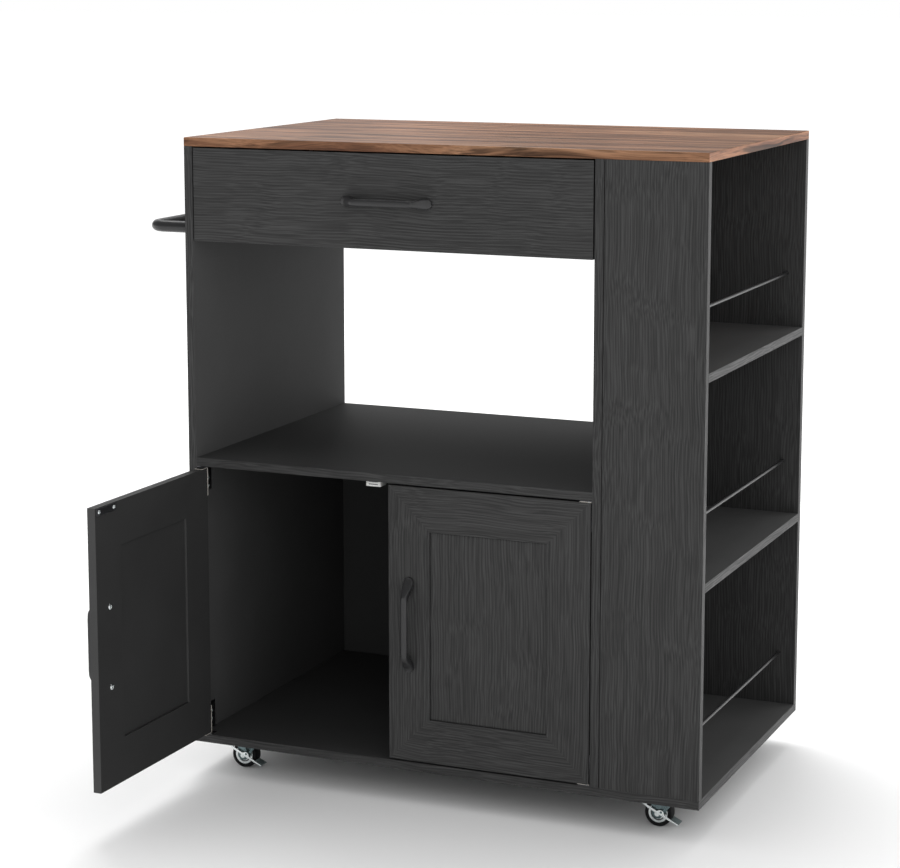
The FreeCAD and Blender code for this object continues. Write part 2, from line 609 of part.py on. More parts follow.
def handle(name, screws_along):
    """A bridge handle in front of a face: grip, two round feet, and a blind screw hole in each.

    It is centred on the origin, reaches towards -Y, and its length lies along screws_along.
    """
    body = new_body(name + "_grip")
    upright = screws_along == "Z"
    role = "YZ_Plane" if upright else "XY_Plane"
    grip_path = new_sketch(body, role)
    half, reach, bend = "(handle_length - grip_thickness) / 2", "handle_reach", "handle_bend"
    ends = (("-1", half), ("1", half))
    straight = [(f"{sign} * {size}", 0, f"{sign} * {size}", f"-{reach} + {bend}")
                for sign, size in ends]
    run = (f"-{half} + {bend}", f"-{reach}", f"{half} - {bend}", f"-{reach}")
    lines = (straight[0], run, straight[1])

    def spot(along, out):
        return (out, along) if upright else (along, out)

    for index, (along_a, out_a, along_b, out_b) in enumerate(lines):
        start, end = spot(along_a, out_a), spot(along_b, out_b)
        grip_path.addGeometry(Part.LineSegment(Vector(value(start[0]), value(start[1]), 0),
                                               Vector(value(end[0]), value(end[1]), 0)))
        for point, place in ((1, start), (2, end)):
            hold(grip_path, "DistanceX", index, point, place[0])
            hold(grip_path, "DistanceY", index, point, place[1])
    middle = 1 - 0.5 ** 0.5
    for sign in (-1, 1):
        knots = ((half, f"-{reach} + {bend}"),
                 (f"({half} - {middle} * {bend})", f"-{reach} + {middle} * {bend}"),
                 (f"({half} - {bend})", f"-{reach}"))
        spots = [spot(f"{sign} * {along}", out) for along, out in knots]
        grip_path.addGeometry(Part.Arc(*[Vector(value(a), value(b), 0) for a, b in spots]))
    section = new_sketch(body, "XZ_Plane")
    wide, thick = ("grip_width", "grip_thickness") if upright else ("grip_thickness",
                                                                   "grip_width")
    centre = (0, f"-{half}") if upright else (f"-{half}", 0)
    rectangle(section, f"{centre[0]} - {wide} / 2", f"{centre[1]} - {thick} / 2",
              f"{centre[0]} + {wide} / 2", f"{centre[1]} + {thick} / 2")
    pipe(body, section, grip_path)
    pieces = [body]
    bores = []
    for sign in (-1, 1):
        for along in ("handle_pitch / 2", "(handle_length / 2 - foot_radius)"):
            x, z = ("0", f"{sign} * {along}") if upright else (f"{sign} * {along}", "0")
            pieces.append(round_bar("foot", x, 0, z, "-Y", "foot_radius", "foot_height"))
        along = "handle_pitch / 2"
        x, z = ("0", f"{sign} * {along}") if upright else (f"{sign} * {along}", "0")
        bores.append(round_bar("bore", x, 1, z, "-Y", "bolt_radius + hole_play",
                               "bolt_bite + 1"))
    return cut(name, fuse(name + "_solid", pieces), bores)


# ---------------------------------------------------------------------------------------------
# Doors: each is drawn closed, with the hinge axis at x = y = 0 and its lower edge at z = 0
# ---------------------------------------------------------------------------------------------

HINGE_FREE = f"({DOOR_WIDTH} - pivot_inset)"
DOOR_BACK = "(board - pivot_inset)"
LEAF_FRONT = "(leaf_setback - pivot_inset)"
TAB_FRONT = "(1 - pivot_inset)"
hinge_plates = []
hinge_pins = []
carcass_places = []
carcass_flat_places = []


def span(side, near, far):
    """Two places across a door, ordered from left to right."""
    left, right = (near, far) if side > 0 else (far, near)
    return f"{side} * ({left})", f"{side} * ({right})"


def slab(name, side, near, far, y0, y1, z0, z1):
    """A box between two distances from the hinge axis, on the side that the door takes."""
    left, right = span(side, near, far)
    return box(name, left, y0, z0, f"({right}) - ({left})", f"({y1}) - ({y0})",
               f"({z1}) - ({z0})")


def door_leaf(name, side):
    """The wooden door: a framed slab with a sunk panel on both faces."""
    body = new_body(name)
    left, right = span(side, "-pivot_inset", HINGE_FREE)
    slab_plan = rectangle(new_sketch(body, "XZ_Plane", f"-{DOOR_BACK}"), left, 0, right,
                          DOOR_HEIGHT)
    pad(body, slab_plan, "board")
    inner = (f"{left} + door_frame", "door_frame", f"{right} - door_frame",
             f"{DOOR_HEIGHT} - door_frame")
    pocket(body, rectangle(new_sketch(body, "XZ_Plane", "pivot_inset"), *inner), "recess_depth")
    pocket(body, rectangle(new_sketch(body, "XZ_Plane", f"-{DOOR_BACK}"), *inner),
           "recess_depth", inward=True)
    bolts = new_sketch(body, "XZ_Plane", "pivot_inset + 1")
    for sign in (-1, 1):
        circle(bolts, f"{side} * ({HINGE_FREE} - handle_inset)",
               f"{DOOR_HEIGHT} / 2 + {sign} * handle_pitch / 2", "bolt_radius + hole_play")
    pocket(body, bolts)
    pin_hole = ("pin_radius + 2 * hole_play", "pin_reach + 4 * hole_play")
    top = circle(new_sketch(body, "XY_Plane", DOOR_HEIGHT), 0, 0, pin_hole[0])
    pocket(body, top, pin_hole[1])
    bottom = circle(new_sketch(body, "XY_Plane"), 0, 0, pin_hole[0])
    pocket(body, bottom, pin_hole[1], inward=True)
    return body


def hinge_leaf(side, upper):
    """The door's half of a hinge: a leaf on the hinge edge and a tab over the door's end."""
    low = f"{DOOR_HEIGHT} - hinge_height" if upper else "-leaf"
    high = f"{DOOR_HEIGHT} + leaf" if upper else "hinge_height"
    upright = slab("leaf", side, "-pivot_inset - leaf", "-pivot_inset", LEAF_FRONT,
                   f"{DOOR_BACK} - 0.5", low, high)
    tab_low = DOOR_HEIGHT if upper else "-leaf"
    tab = slab("leaf_tab", side, "-pivot_inset - leaf", "tab_reach + 1", TAB_FRONT,
               f"{DOOR_BACK} - 0.5", tab_low, f"{tab_low} + leaf")
    bore = round_bar("leaf_bore", 0, 0, f"{tab_low} - 1", "+Z", "pin_radius + fit", "leaf + 2")
    return cut("leaf_bored", fuse("leaf_bent", (upright, tab)), [bore])


def cabinet_hinge(side, upper, home_x, home_z):
    """The cabinet's half of a hinge: a plate behind the door, a tab over it, and the pin."""
    seat = f"{DOOR_HEIGHT} + end_gap - hinge_play" if upper else "-end_gap + hinge_play"
    low = f"{seat} - hinge_height" if upper else seat
    high = seat if upper else f"{seat} + hinge_height"
    upright = slab("plate", side, "-pivot_inset - side_gap", "-pivot_inset - side_gap + plate",
                   f"{DOOR_BACK} + 1", f"{DOOR_BACK} + 1 + hinge_depth", low, high)
    tab_low = f"{seat} - plate" if upper else seat
    tab = slab("plate_tab", side, "-pivot_inset - side_gap", "tab_reach", "-pivot_inset + 0.5",
               f"{DOOR_BACK} + 4", tab_low, f"{tab_low} + plate")
    plates = cut("plate_bored", fuse("plate_bent", (upright, tab)),
                 [round_bar("plate_bore", 0, 0, f"{tab_low} - 1", "+Z", "pin_radius + 0.02",
                            "plate + 2")])
    pin_low = f"{DOOR_HEIGHT} - pin_reach" if upper else f"{tab_low}"
    pin_high = f"{tab_low} + plate" if upper else "pin_reach"
    pin = round_bar("pin", 0, 0, pin_low, "+Z", "pin_radius", f"({pin_high}) - ({pin_low})")
    for piece, pile in ((plates, hinge_plates), (pin, hinge_pins)):
        place = doc.addObject("App::Link", piece.Name + "_place")
        place.LinkedObject = piece
        at(place, home_x, "pivot_inset", home_z)
        if piece is pin:
            at(place, home_x, "pivot_inset", f"{home_z} + {pin_low}")
        pile.append(place)


DOOR_FOOT = f"{FLOOR} + end_gap"
DOOR_TIP = f"{DOOR_HEIGHT} + {DOOR_FOOT}"
DOORS = {
    "left": (1, "board + side_gap + pivot_inset", "left_panel", "board"),
    "right": (-1, "divider_left - side_gap - pivot_inset", "divider_panel", "divider_left"),
}
for name, (side, home_x, panel, panel_face) in DOORS.items():
    hand = FreeCAD.Rotation(Vector(0, 0, 1), -value("open_angle") if side > 0 else 0)
    home = (home_x, "pivot_inset", DOOR_FOOT, hand)
    across = "+X" if side > 0 else "-X"
    handle_x = f"{side} * ({HINGE_FREE} - handle_inset)"
    strike_x = f"{HINGE_FREE} - strike_inset"
    strike_z = f"{DOOR_HEIGHT} - strike_drop"

    # Screws of the hinge leaves, the strike plate and the handle, and their holes.
    edge_places = [(f"{side} * (-pivot_inset - leaf)", f"({LEAF_FRONT} + {DOOR_BACK}) / 2",
                    height, OPPOSITE[across])
                   for height in ("leaf_screw", "leaf_screw + leaf_screw_pitch",
                                  f"{DOOR_HEIGHT} - leaf_screw",
                                  f"{DOOR_HEIGHT} - leaf_screw - leaf_screw_pitch")]
    strike_places = [(f"{side} * ({strike_x} + {sign} * strike_pitch / 2)",
                      f"{DOOR_BACK} + plate", strike_z, "+Y") for sign in (-1, 1)]
    handle_places = [(handle_x, DOOR_BACK, f"{DOOR_HEIGHT} / 2 + {sign} * handle_pitch / 2",
                      "+Y") for sign in (-1, 1)]
    door_label = f"{name}_door"
    drill_for_screws((door_label, f"{name}_hinge_leaves"), edge_places)
    drill_for_screws((door_label, f"{name}_strike_plate"), strike_places)

    leaf_body = door_leaf(f"{name}_door_leaf", side)
    subpart(door_label, cut(door_label, leaf_body, holes.pop(door_label)), *home)
    leaves = group("leaves", [hinge_leaf(side, upper) for upper in (True, False)])
    subpart(f"{name}_hinge_leaves", cut(f"{name}_hinge_leaves", leaves,
                                        holes.pop(f"{name}_hinge_leaves")), *home)
    strike = slab("strike", side, f"{strike_x} - strike_length / 2",
                  f"{strike_x} + strike_length / 2", DOOR_BACK, f"{DOOR_BACK} + plate",
                  f"{strike_z} - strike_height / 2", f"{strike_z} + strike_height / 2")
    subpart(f"{name}_strike_plate", cut(f"{name}_strike_plate", strike,
                                        holes.pop(f"{name}_strike_plate")), *home)
    screws = group(f"{name}_door_screws", [
        copies("edge_screws", flat_screw, edge_places),
        copies("strike_screws", wood_screw, strike_places),
        copies("handle_screws", handle_screw, handle_places)])
    subpart(f"{name}_door_screws", screws, *home)
    pull = handle(f"{name}_pull", "Z")
    at(pull, handle_x, "-pivot_inset", f"{DOOR_HEIGHT} / 2")
    subpart(f"{name}_door_handle", group(f"{name}_door_handle", [pull]), *home)

    # Cabinet side: two hinges and a magnetic catch under the middle shelf.
    for upper in (True, False):
        cabinet_hinge(side, upper, home_x, DOOR_FOOT)
    hinge_y = "board + 1 + hinge_depth * 0.6"
    for height in (f"{DOOR_TIP} - hinge_height * 0.5", f"{DOOR_TIP} - hinge_height * 0.8",
                   f"{DOOR_FOOT} + hinge_height * 0.3", f"{DOOR_FOOT} + hinge_height * 0.6"):
        place = (f"{panel_face} + {side} * plate", hinge_y, height, across)
        carcass_places.append(place)
        drill_for_screws((panel, "hinge_plates"), [place])

catches = []
for side, home_x in ((1, DOORS["left"][1]), (-1, DOORS["right"][1])):
    middle = f"{home_x} + {side} * ({HINGE_FREE} - strike_inset)"
    low = f"{MIDDLE_UNDERSIDE} - catch_drop"
    screw_y = "board + plate + catch_screw"
    body = box("catch", f"{middle} - catch_width / 2", "board + plate + 0.3", low, "catch_width",
               "catch_depth", "catch_drop")
    slot = round_bar("catch_slot", middle, screw_y, low, "+Z", "shank_radius + hole_play",
                     "catch_drop + 1")
    sink = round_bar("catch_sink", middle, screw_y, f"{low} - 1", "+Z", 3, 5)
    catches.append(cut("catch_bored", body, [slot, sink]))
    place = (middle, screw_y, f"{low} + 4", "-Z")
    carcass_places.append(place)
    drill_for_screws(("middle_shelf",), [place])
subpart("magnetic_catches", group("magnetic_catches", catches))


# ---------------------------------------------------------------------------------------------
# Drawer and its runners
# ---------------------------------------------------------------------------------------------

drawer_blanks = {
    "drawer_front": box("drawer_front_blank", "board + side_gap", 0, "drawer_front_bottom",
                        f"{OPENING} - 2 * side_gap", "board",
                        f"{TOP} - drawer_top_gap - drawer_front_bottom"),
    "drawer_left_side": box("drawer_left_blank", DRAWER_LEFT, "board", DRAWER_SILL, "board",
                            "drawer_depth", "drawer_side_height"),
    "drawer_right_side": box("drawer_right_blank", f"{DRAWER_RIGHT} - board", "board",
                             DRAWER_SILL, "board", "drawer_depth", "drawer_side_height"),
    "drawer_back": box("drawer_back_blank", f"{DRAWER_LEFT} + board", f"{DRAWER_BACK} - board",
                       DRAWER_SILL, f"{DRAWER_RIGHT} - {DRAWER_LEFT} - 2 * board", "board",
                       "drawer_side_height"),
}


def drawer_floor_box(name, play):
    """The drawer's bottom in its grooves, grown by a play on every side."""
    left = f"{DRAWER_LEFT} + board - groove - {play}"
    front = f"board - groove - {play}"
    return box(name, left, front, f"{DRAWER_BASE} - {play}",
               f"{DRAWER_RIGHT} - {DRAWER_LEFT} - 2 * board + 2 * groove + 2 * {play}",
               f"{DRAWER_BACK} - 2 * board + 2 * groove + 2 * {play}",
               f"drawer_floor + 2 * {play}")


subpart("drawer_bottom", group("drawer_bottom", [drawer_floor_box("drawer_bottom_sheet", 0)]))
floor_groove = drawer_floor_box("drawer_bottom_groove", "hole_play")
for label in drawer_blanks:
    holes.setdefault(label, []).append(floor_groove)

BACK_SCREW = 22
drawer_wood_places = []
for low in ("side_dowel_inset - 5", "drawer_side_height - side_dowel_inset + 5"):
    for x, label, direction in ((DRAWER_LEFT, "drawer_left_side", "-X"),
                                (DRAWER_RIGHT, "drawer_right_side", "+X")):
        place = (x, f"{DRAWER_BACK} - board / 2", f"{DRAWER_SILL} + {low}", direction)
        drawer_wood_places.append(place)
        drill((label, "drawer_back"), *place[:3], OPPOSITE[direction], "shank_radius",
              f"{BACK_SCREW} + 3 * hole_play")
drawer_dowels = []
for label, x in (("drawer_left_side", f"{DRAWER_LEFT} + board / 2"),
                 ("drawer_right_side", f"{DRAWER_RIGHT} - board / 2")):
    for low in ("side_dowel_inset", "drawer_side_height - side_dowel_inset"):
        dowel(("drawer_front", label), x, "board", f"{DRAWER_SILL} + {low}", "+Y",
              drawer_dowels)

drawer_handle_x = f"board + {OPENING} / 2"
pull_places = [(f"{drawer_handle_x} + {sign} * handle_pitch / 2", "board",
                "drawer_handle_height", "+Y") for sign in (-1, 1)]
drill_for_screws(("drawer_front",), pull_places, "bolt_radius", "board + 1")
drawer_pull = at(handle("drawer_pull", "X"), drawer_handle_x, 0, "drawer_handle_height")
subpart("drawer_handle", group("drawer_handle", [drawer_pull]))


def channel(name, side, back, front, lip, half_height, length):
    """A folded runner, from distances across the gap: its web's two faces and its flanges' lip."""
    body = new_body(name)
    inner = f"{half_height} - sheet"
    corners = ((back, f"-{half_height}"), (lip, f"-{half_height}"), (lip, f"-({inner})"),
               (front, f"-({inner})"), (front, inner), (lip, inner), (lip, half_height),
               (back, half_height))
    profile = [(f"{side} * ({x})", z) for x, z in corners]
    pad(body, outline(new_sketch(body, "XZ_Plane"), profile), length)
    return body


cabinet_runners = []
drawer_runners = []
ball_cages = []
runner_places = []
for side, home_x, panel, drawer_side in ((1, "board", "left_panel", "drawer_left_side"),
                                         (-1, "divider_left", "divider_panel",
                                          "drawer_right_side")):
    fixed = channel("runner_fixed", side, "0", "sheet", "runner_flange", "runner_half",
                    "runner_length")
    at(fixed, home_x, "runner_start + runner_length", "runner_height")
    cabinet_runners.append(fixed)
    moving = channel("runner_moving", side, "runner_gap", "runner_gap - sheet", "slider_flange",
                     "slider_half", "runner_length")
    at(moving, home_x, "runner_start + runner_length", "runner_height")
    drawer_runners.append(moving)
    cage = channel("cage", side, "cage_near", "cage_far", "cage_flange", "cage_half",
                   "cage_length")
    at(cage, home_x, "cage_start + cage_length", "runner_height")
    balls = []
    for index in range(6):
        for sign in (-1, 1):
            ball = doc.addObject("Part::Sphere", "ball")
            bind(ball, Radius="ball_radius")
            at(ball, f"{home_x} + {side} * ball_reach",
               f"cage_start + ball_start + {index} * ball_pitch",
               f"runner_height + {sign} * ball_track")
            balls.append(ball)
    ball_cages.append(fuse("caged_balls", [cage] + balls))
    across = "+X" if side > 0 else "-X"
    for y in ("runner_start + 40", "runner_start + runner_length - 20"):
        place = (f"{home_x} + {side} * sheet", y, "runner_height", across)
        carcass_flat_places.append(place)
        drill_for_screws((panel, "cabinet_runners"), [place])
        place = (f"{home_x} + {side} * (runner_gap - sheet)", y, "runner_height",
                 OPPOSITE[across])
        runner_places.append(place)
        drill_for_screws((drawer_side, "drawer_runners"), [place])

for label, blank in drawer_blanks.items():
    subpart(label, cut(label, blank, holes.pop(label)))
for label, pieces in (("cabinet_runners", cabinet_runners), ("drawer_runners", drawer_runners)):
    subpart(label, cut(label, group(label + "_blank", pieces), holes.pop(label)))
subpart("ball_cages", group("ball_cages", ball_cages))
back_screw = screw_master("back_screw", 2.8, 1.3, "shank_radius", BACK_SCREW)
drawer_dowel = round_bar("drawer_dowel", 0, 0, 0, "+Z", "dowel_radius", "dowel_length")
subpart("drawer_fasteners", group("drawer_fasteners", [
    copies("front_dowels", drawer_dowel, drawer_dowels),
    copies("back_screws", back_screw, drawer_wood_places),
    copies("runner_screws", flat_screw, runner_places),
    copies("pull_screws", handle_screw, pull_places)]))


# ---------------------------------------------------------------------------------------------
# Casters: each is drawn with its king pin on the Z axis and the floor at z = 0
# ---------------------------------------------------------------------------------------------

FORK_TOP = "(caster_height - mount_plate - fork_gap)"
FORK_WIDTH = "(fork_inside + 2 * fork_sheet)"
HEAD_TOP = f"({FORK_TOP} - fork_sheet - race_play)"
CASTERS = {
    "front_left": ("caster_inset", "caster_setback", True),
    "front_right": ("cart_width - caster_inset", "caster_setback", True),
    "rear_left": ("caster_inset", "cart_depth - caster_setback", False),
    "rear_right": ("cart_width - caster_inset", "cart_depth - caster_setback", False),
}
# Side views from the axle: the fork's cheek, then the brake lever's arm, strap and pedal.
CHEEK = ((-9, 23.4), (23, 23.4), (23, 19), (7.5, -2.5), (3.2, -6.4), (-3.2, -6.4), (-7, -2.5),
         (-9, 16))
CHEEK_SHOULDER = 20
ARM = ((-25, 3.4), (-15, 1.4), (24, 1), (32, 1.6), (32, 3.6), (24, 3.8), (10, 4.4), (7, 7.8),
       (4, 8.8), (1, 7.8), (-2, 4.6), (-18, 5), (-20, 9.7), (-25, 9.7))
ARM_HEIGHT = 12
STRAP = (-25, 8.5, -20, 9.7)
PEDAL = (19.6, 2.2, 32, 3.4)
# Radii of the hub's boss at its face and its root, and of the dish round it.
BOSS_FACE, BOSS_ROOT, DISH_ROOT, DISH_EDGE = 5, 5.6, 10.4, 11.2
BRAKE_X = "(brake_u * cos(brake_angle * 1deg) + brake_w * sin(brake_angle * 1deg))"
BRAKE_Z = "(-brake_u * sin(brake_angle * 1deg) + brake_w * cos(brake_angle * 1deg))"


def fork(name, braked):
    """The pressed fork: two cheeks under a round top, with stubs for the brake lever."""
    body = new_body(name)
    corners = [(f"{x} - trail", f"{z} + wheel_radius" if z < CHEEK_SHOULDER else FORK_TOP)
               for x, z in CHEEK]
    pad(body, outline(new_sketch(body, "XZ_Plane"), corners), FORK_WIDTH, "Symmetric")
    top = circle(new_sketch(body, "XY_Plane", f"{FORK_TOP} - fork_sheet"), 0, 0,
                 "fork_top_radius")
    pad(body, top, "fork_sheet")
    inside = rectangle(new_sketch(body, "YZ_Plane"), "-fork_inside / 2", 0, "fork_inside / 2",
                       f"{FORK_TOP} - fork_sheet")
    pocket(body, inside, side="Symmetric")
    if braked:
        for sign in (-1, 1):
            offset = f"{FORK_WIDTH} / 2 - 0.5" if sign < 0 else "-brake_width / 2 - 0.2"
            stub = circle(new_sketch(body, "XZ_Plane", offset), f"{BRAKE_X} - trail",
                          f"{BRAKE_Z} + wheel_radius", "brake_pin")
            pad(body, stub, f"brake_width / 2 + 0.2 - {FORK_WIDTH} / 2 + 0.5")
    king = circle(new_sketch(body, "XY_Plane", FORK_TOP), 0, 0, "king_radius + fit")
    pocket(body, king, "2 * fork_sheet")
    axle = circle(new_sketch(body, "XZ_Plane"), "-trail", "wheel_radius", "axle_radius + 0.02")
    pocket(body, axle, side="Symmetric")
    return body


def brake_lever(name):
    """The brake: two slim arms outside the fork, joined by a strap behind the wheel.

    The front arm carries the pedal, and the other one ends a little past the axle.
    """
    body = new_body(name)
    pad(body, outline(new_sketch(body, "XZ_Plane"), ARM), "brake_width", "Symmetric")
    inner = rectangle(new_sketch(body, "YZ_Plane"), "-brake_width / 2 + brake_sheet", 0,
                      "brake_width / 2 - brake_sheet", ARM_HEIGHT)
    pocket(body, inner, side="Symmetric")
    for sides in (STRAP, PEDAL):
        pad(body, rectangle(new_sketch(body, "XZ_Plane"), *sides), "brake_width", "Symmetric")
    beside = rectangle(new_sketch(body, "XY_Plane"), "far_arm", "-brake_width / 2 + pedal_width",
                       PEDAL[2] + 1, "brake_width / 2 + 1")
    pocket(body, beside, side="Symmetric")
    pivot = circle(new_sketch(body, "XZ_Plane"), "brake_u", "brake_w", "brake_pin + fit")
    pocket(body, pivot, side="Symmetric")
    return body


mount_plates = []
caster_screw_places = []
for name, (home_x, home_y, braked) in CASTERS.items():
    plate_low = "caster_height - mount_plate"
    plate_box = box("mount", f"{home_x} - mount_length / 2", f"{home_y} - mount_width / 2",
                    plate_low, "mount_length", "mount_width", "mount_plate")
    race = round_bar("race", home_x, home_y, f"{FORK_TOP} + race_play", "+Z", "race_radius",
                     "fork_gap - race_play")
    king_pin = round_bar("king_pin", home_x, home_y, f"{HEAD_TOP} - 1", "+Z", "king_radius",
                         "fork_gap + fork_sheet + race_play + 1")
    king_head = round_bar("king_head", home_x, home_y, f"{HEAD_TOP} - king_head", "+Z",
                          "king_head_radius", "king_head")
    mount_plates.append(fuse("mount_plate", (plate_box, race, king_pin, king_head)))
    for across in (-1, 1):
        for deep in (-1, 1):
            place = (f"{home_x} + {across} * mount_screw_span / 2",
                     f"{home_y} + {deep} * mount_screw_pitch / 2", plate_low, "-Z")
            caster_screw_places.append(place)
            drill_for_screws(("bottom_board", "caster_plates"), [place])

    home = (home_x, home_y)
    wheel_home = (f"{home_x} - trail", home_y, "wheel_radius")
    subpart(f"fork_{name}", fork(f"fork_{name}", braked), *home)
    axle_end = f"({FORK_WIDTH} / 2 + 0.05)"
    head_end = f"({axle_end} + axle_head)"
    subpart(f"axle_{name}", turned(new_body(f"axle_{name}"), (
        (0, f"-{head_end}"), ("axle_head_radius", f"-{head_end}"),
        ("axle_head_radius", f"-{axle_end}"), ("axle_radius", f"-{axle_end}"),
        ("axle_radius", axle_end), ("axle_head_radius", axle_end),
        ("axle_head_radius", head_end), (0, head_end))), *wheel_home)
    half = "wheel_width / 2"
    subpart(f"tyre_{name}", turned(new_body(f"tyre_{name}"), (
        ("hub_radius + 0.03", f"-{half}"), ("wheel_radius - tyre_round", f"-{half}"),
        ("wheel_radius", f"-{half} + tyre_round"), ("wheel_radius", f"{half} - tyre_round"),
        ("wheel_radius - tyre_round", half), ("hub_radius + 0.03", half))), *wheel_home)
    rim = "(wheel_width / 2 - hub_setback)"
    subpart(f"hub_{name}", turned(new_body(f"hub_{name}"), (
        ("axle_radius + fit", f"-{rim} - hub_boss"), (BOSS_FACE, f"-{rim} - hub_boss"),
        (BOSS_ROOT, f"-{rim} + hub_dish"), (DISH_ROOT, f"-{rim} + hub_dish"),
        (DISH_EDGE, f"-{rim}"), ("hub_radius", f"-{rim}"), ("hub_radius", rim),
        (DISH_EDGE, rim), (DISH_ROOT, f"{rim} - hub_dish"), (BOSS_ROOT, f"{rim} - hub_dish"),
        (BOSS_FACE, f"{rim} + hub_boss"), ("axle_radius + fit", f"{rim} + hub_boss"))),
        *wheel_home)
    if braked:
        slope = FreeCAD.Rotation(Vector(0, 1, 0), value("brake_angle"))
        subpart(f"brake_{name}", brake_lever(f"brake_{name}"), *wheel_home, slope)
subpart("caster_plates", cut("caster_plates", group("mount_plates", mount_plates),
                             holes.pop("caster_plates")))
subpart("caster_screws", copies("caster_screws", wood_screw, caster_screw_places))


# ---------------------------------------------------------------------------------------------
# Boards with their holes, and the fasteners of the cabinet
# ---------------------------------------------------------------------------------------------

subpart("hinge_plates", cut("hinge_plates", group("hinge_plates_blank", hinge_plates),
                            holes.pop("hinge_plates")))
subpart("hinge_pins", group("hinge_pins", hinge_pins))
for label, blank in blanks.items():
    tools = holes.pop(label, [])
    subpart(label, cut(label, blank, tools) if tools else group(label, [blank]))
wood_dowel = round_bar("wood_dowel", 0, 0, 0, "+Z", "dowel_radius", "dowel_length")
subpart("assembly_dowels", copies("assembly_dowels", wood_dowel, dowel_places))
subpart("assembly_screws", copies("assembly_screws", assembly_screw, assembly_places))
subpart("cam_locks", group("cam_locks", cam_pieces))
subpart("cabinet_screws", group("cabinet_screws", [
    copies("hinge_screws", wood_screw, carcass_places),
    copies("runner_fixings", flat_screw, carcass_flat_places),
    copies("bar_screws", handle_screw, bar_screw_places)]))


# ---------------------------------------------------------------------------------------------
# Check and write
# ---------------------------------------------------------------------------------------------

doc.recompute()
faults = [thing.Label for thing in doc.Objects
          if any(state in ("Invalid", "Error") for state in thing.State)]
for label, thing in subparts.items():
    if thing.Shape.isNull() or not thing.Shape.isValid() or not thing.Shape.Solids:
        faults.append(label)
if holes:
    faults.append("holes without a board: " + ", ".join(holes))
if faults:
    raise RuntimeError("failed objects: " + ", ".join(faults))

os.makedirs("parts", exist_ok=True)
for label, thing in subparts.items():
    thing.Shape.exportStep(f"parts/{label}.step")
print(len(subparts), "sub-parts written")
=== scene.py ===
"""Kitchen island cart: its looks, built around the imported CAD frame. Metres, in the frame's axes."""
import json
import math

import bmesh
import bpy
from mathutils import Matrix, Vector


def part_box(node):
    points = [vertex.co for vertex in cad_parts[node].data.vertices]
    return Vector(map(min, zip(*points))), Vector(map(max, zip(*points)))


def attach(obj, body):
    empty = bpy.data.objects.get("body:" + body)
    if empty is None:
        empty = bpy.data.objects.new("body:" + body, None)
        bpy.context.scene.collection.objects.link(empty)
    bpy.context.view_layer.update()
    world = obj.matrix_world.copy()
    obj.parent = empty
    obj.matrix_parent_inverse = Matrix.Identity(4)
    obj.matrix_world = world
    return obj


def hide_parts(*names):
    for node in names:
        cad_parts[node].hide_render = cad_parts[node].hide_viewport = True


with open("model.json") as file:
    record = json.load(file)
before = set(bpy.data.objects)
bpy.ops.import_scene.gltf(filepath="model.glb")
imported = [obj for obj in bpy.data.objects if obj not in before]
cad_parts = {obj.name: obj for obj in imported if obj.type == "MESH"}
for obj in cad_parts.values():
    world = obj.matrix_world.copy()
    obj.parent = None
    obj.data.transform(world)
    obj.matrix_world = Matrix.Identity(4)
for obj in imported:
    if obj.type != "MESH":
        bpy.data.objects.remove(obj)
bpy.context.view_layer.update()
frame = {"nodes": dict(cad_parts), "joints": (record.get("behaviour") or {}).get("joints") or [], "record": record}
NODES = frame["nodes"]
JOINTS = {joint["name"]: joint for joint in frame["joints"]}
BODY_OF = {node: body for body, nodes in frame["record"]["behaviour"]["bodies"].items()
           for node in nodes}
SLOT_OF = {part["node"]: part["material_slot"] for part in frame["record"]["subparts"]}
MM = 0.001

# ---------------------------------------------------------------------------------------------
# Camera
# ---------------------------------------------------------------------------------------------

CAMERA_PLACE = (1.3082, -2.9948, 1.1179)
CAMERA_TURN = (80.944, 0.0, 23.211)
CAMERA_LENS = 97.144
CAMERA_SHIFT = -0.08

camera_data = bpy.data.cameras.new("camera")
camera_data.lens = CAMERA_LENS
camera_data.shift_y = CAMERA_SHIFT
camera = bpy.data.objects.new("camera", camera_data)
camera.location = CAMERA_PLACE
camera.rotation_euler = [math.radians(angle) for angle in CAMERA_TURN]
bpy.context.scene.collection.objects.link(camera)
bpy.context.scene.camera = camera
bpy.context.scene.view_settings.view_transform = "Standard"


# ---------------------------------------------------------------------------------------------
# Shader helpers
# ---------------------------------------------------------------------------------------------

def add(tree, kind, inputs=None, **settings):
    """A shader node with its settings, its inputs set to values or linked to sockets."""
    made = tree.nodes.new("ShaderNode" + kind)
    for name, value in settings.items():
        setattr(made, name, value)
    for name, value in (inputs or {}).items():
        if isinstance(value, bpy.types.NodeSocket):
            tree.links.new(value, made.inputs[name])
        else:
            made.inputs[name].default_value = value
    return made


def new_material(name, **values):
    """A material, its tree and its shader, with the shader's own sockets set."""
    made = bpy.data.materials.new(name)
    made.use_nodes = True
    shader = made.node_tree.nodes["Principled BSDF"]
    for key, value in values.items():
        shader.inputs[key.replace("_", " ")].default_value = value
    return made, made.node_tree, shader


def maths(tree, operation, first, second):
    return add(tree, "Math", {0: first, 1: second}, operation=operation).outputs[0]


def swirled(tree, scale, amount):
    """Object coordinates pushed about by a slow noise, in metres."""
    place = add(tree, "TexCoord").outputs["Object"]
    drift = add(tree, "TexNoise", {"Vector": place, "Scale": scale, "Detail": 2.0})
    centred = add(tree, "VectorMath", {0: drift.outputs["Color"], 1: (0.5, 0.5, 0.5)},
                  operation="SUBTRACT").outputs[0]
    moved = add(tree, "VectorMath", {0: centred, "Scale": amount}, operation="SCALE").outputs[0]
    return add(tree, "VectorMath", {0: place, 1: moved}, operation="ADD").outputs[0]


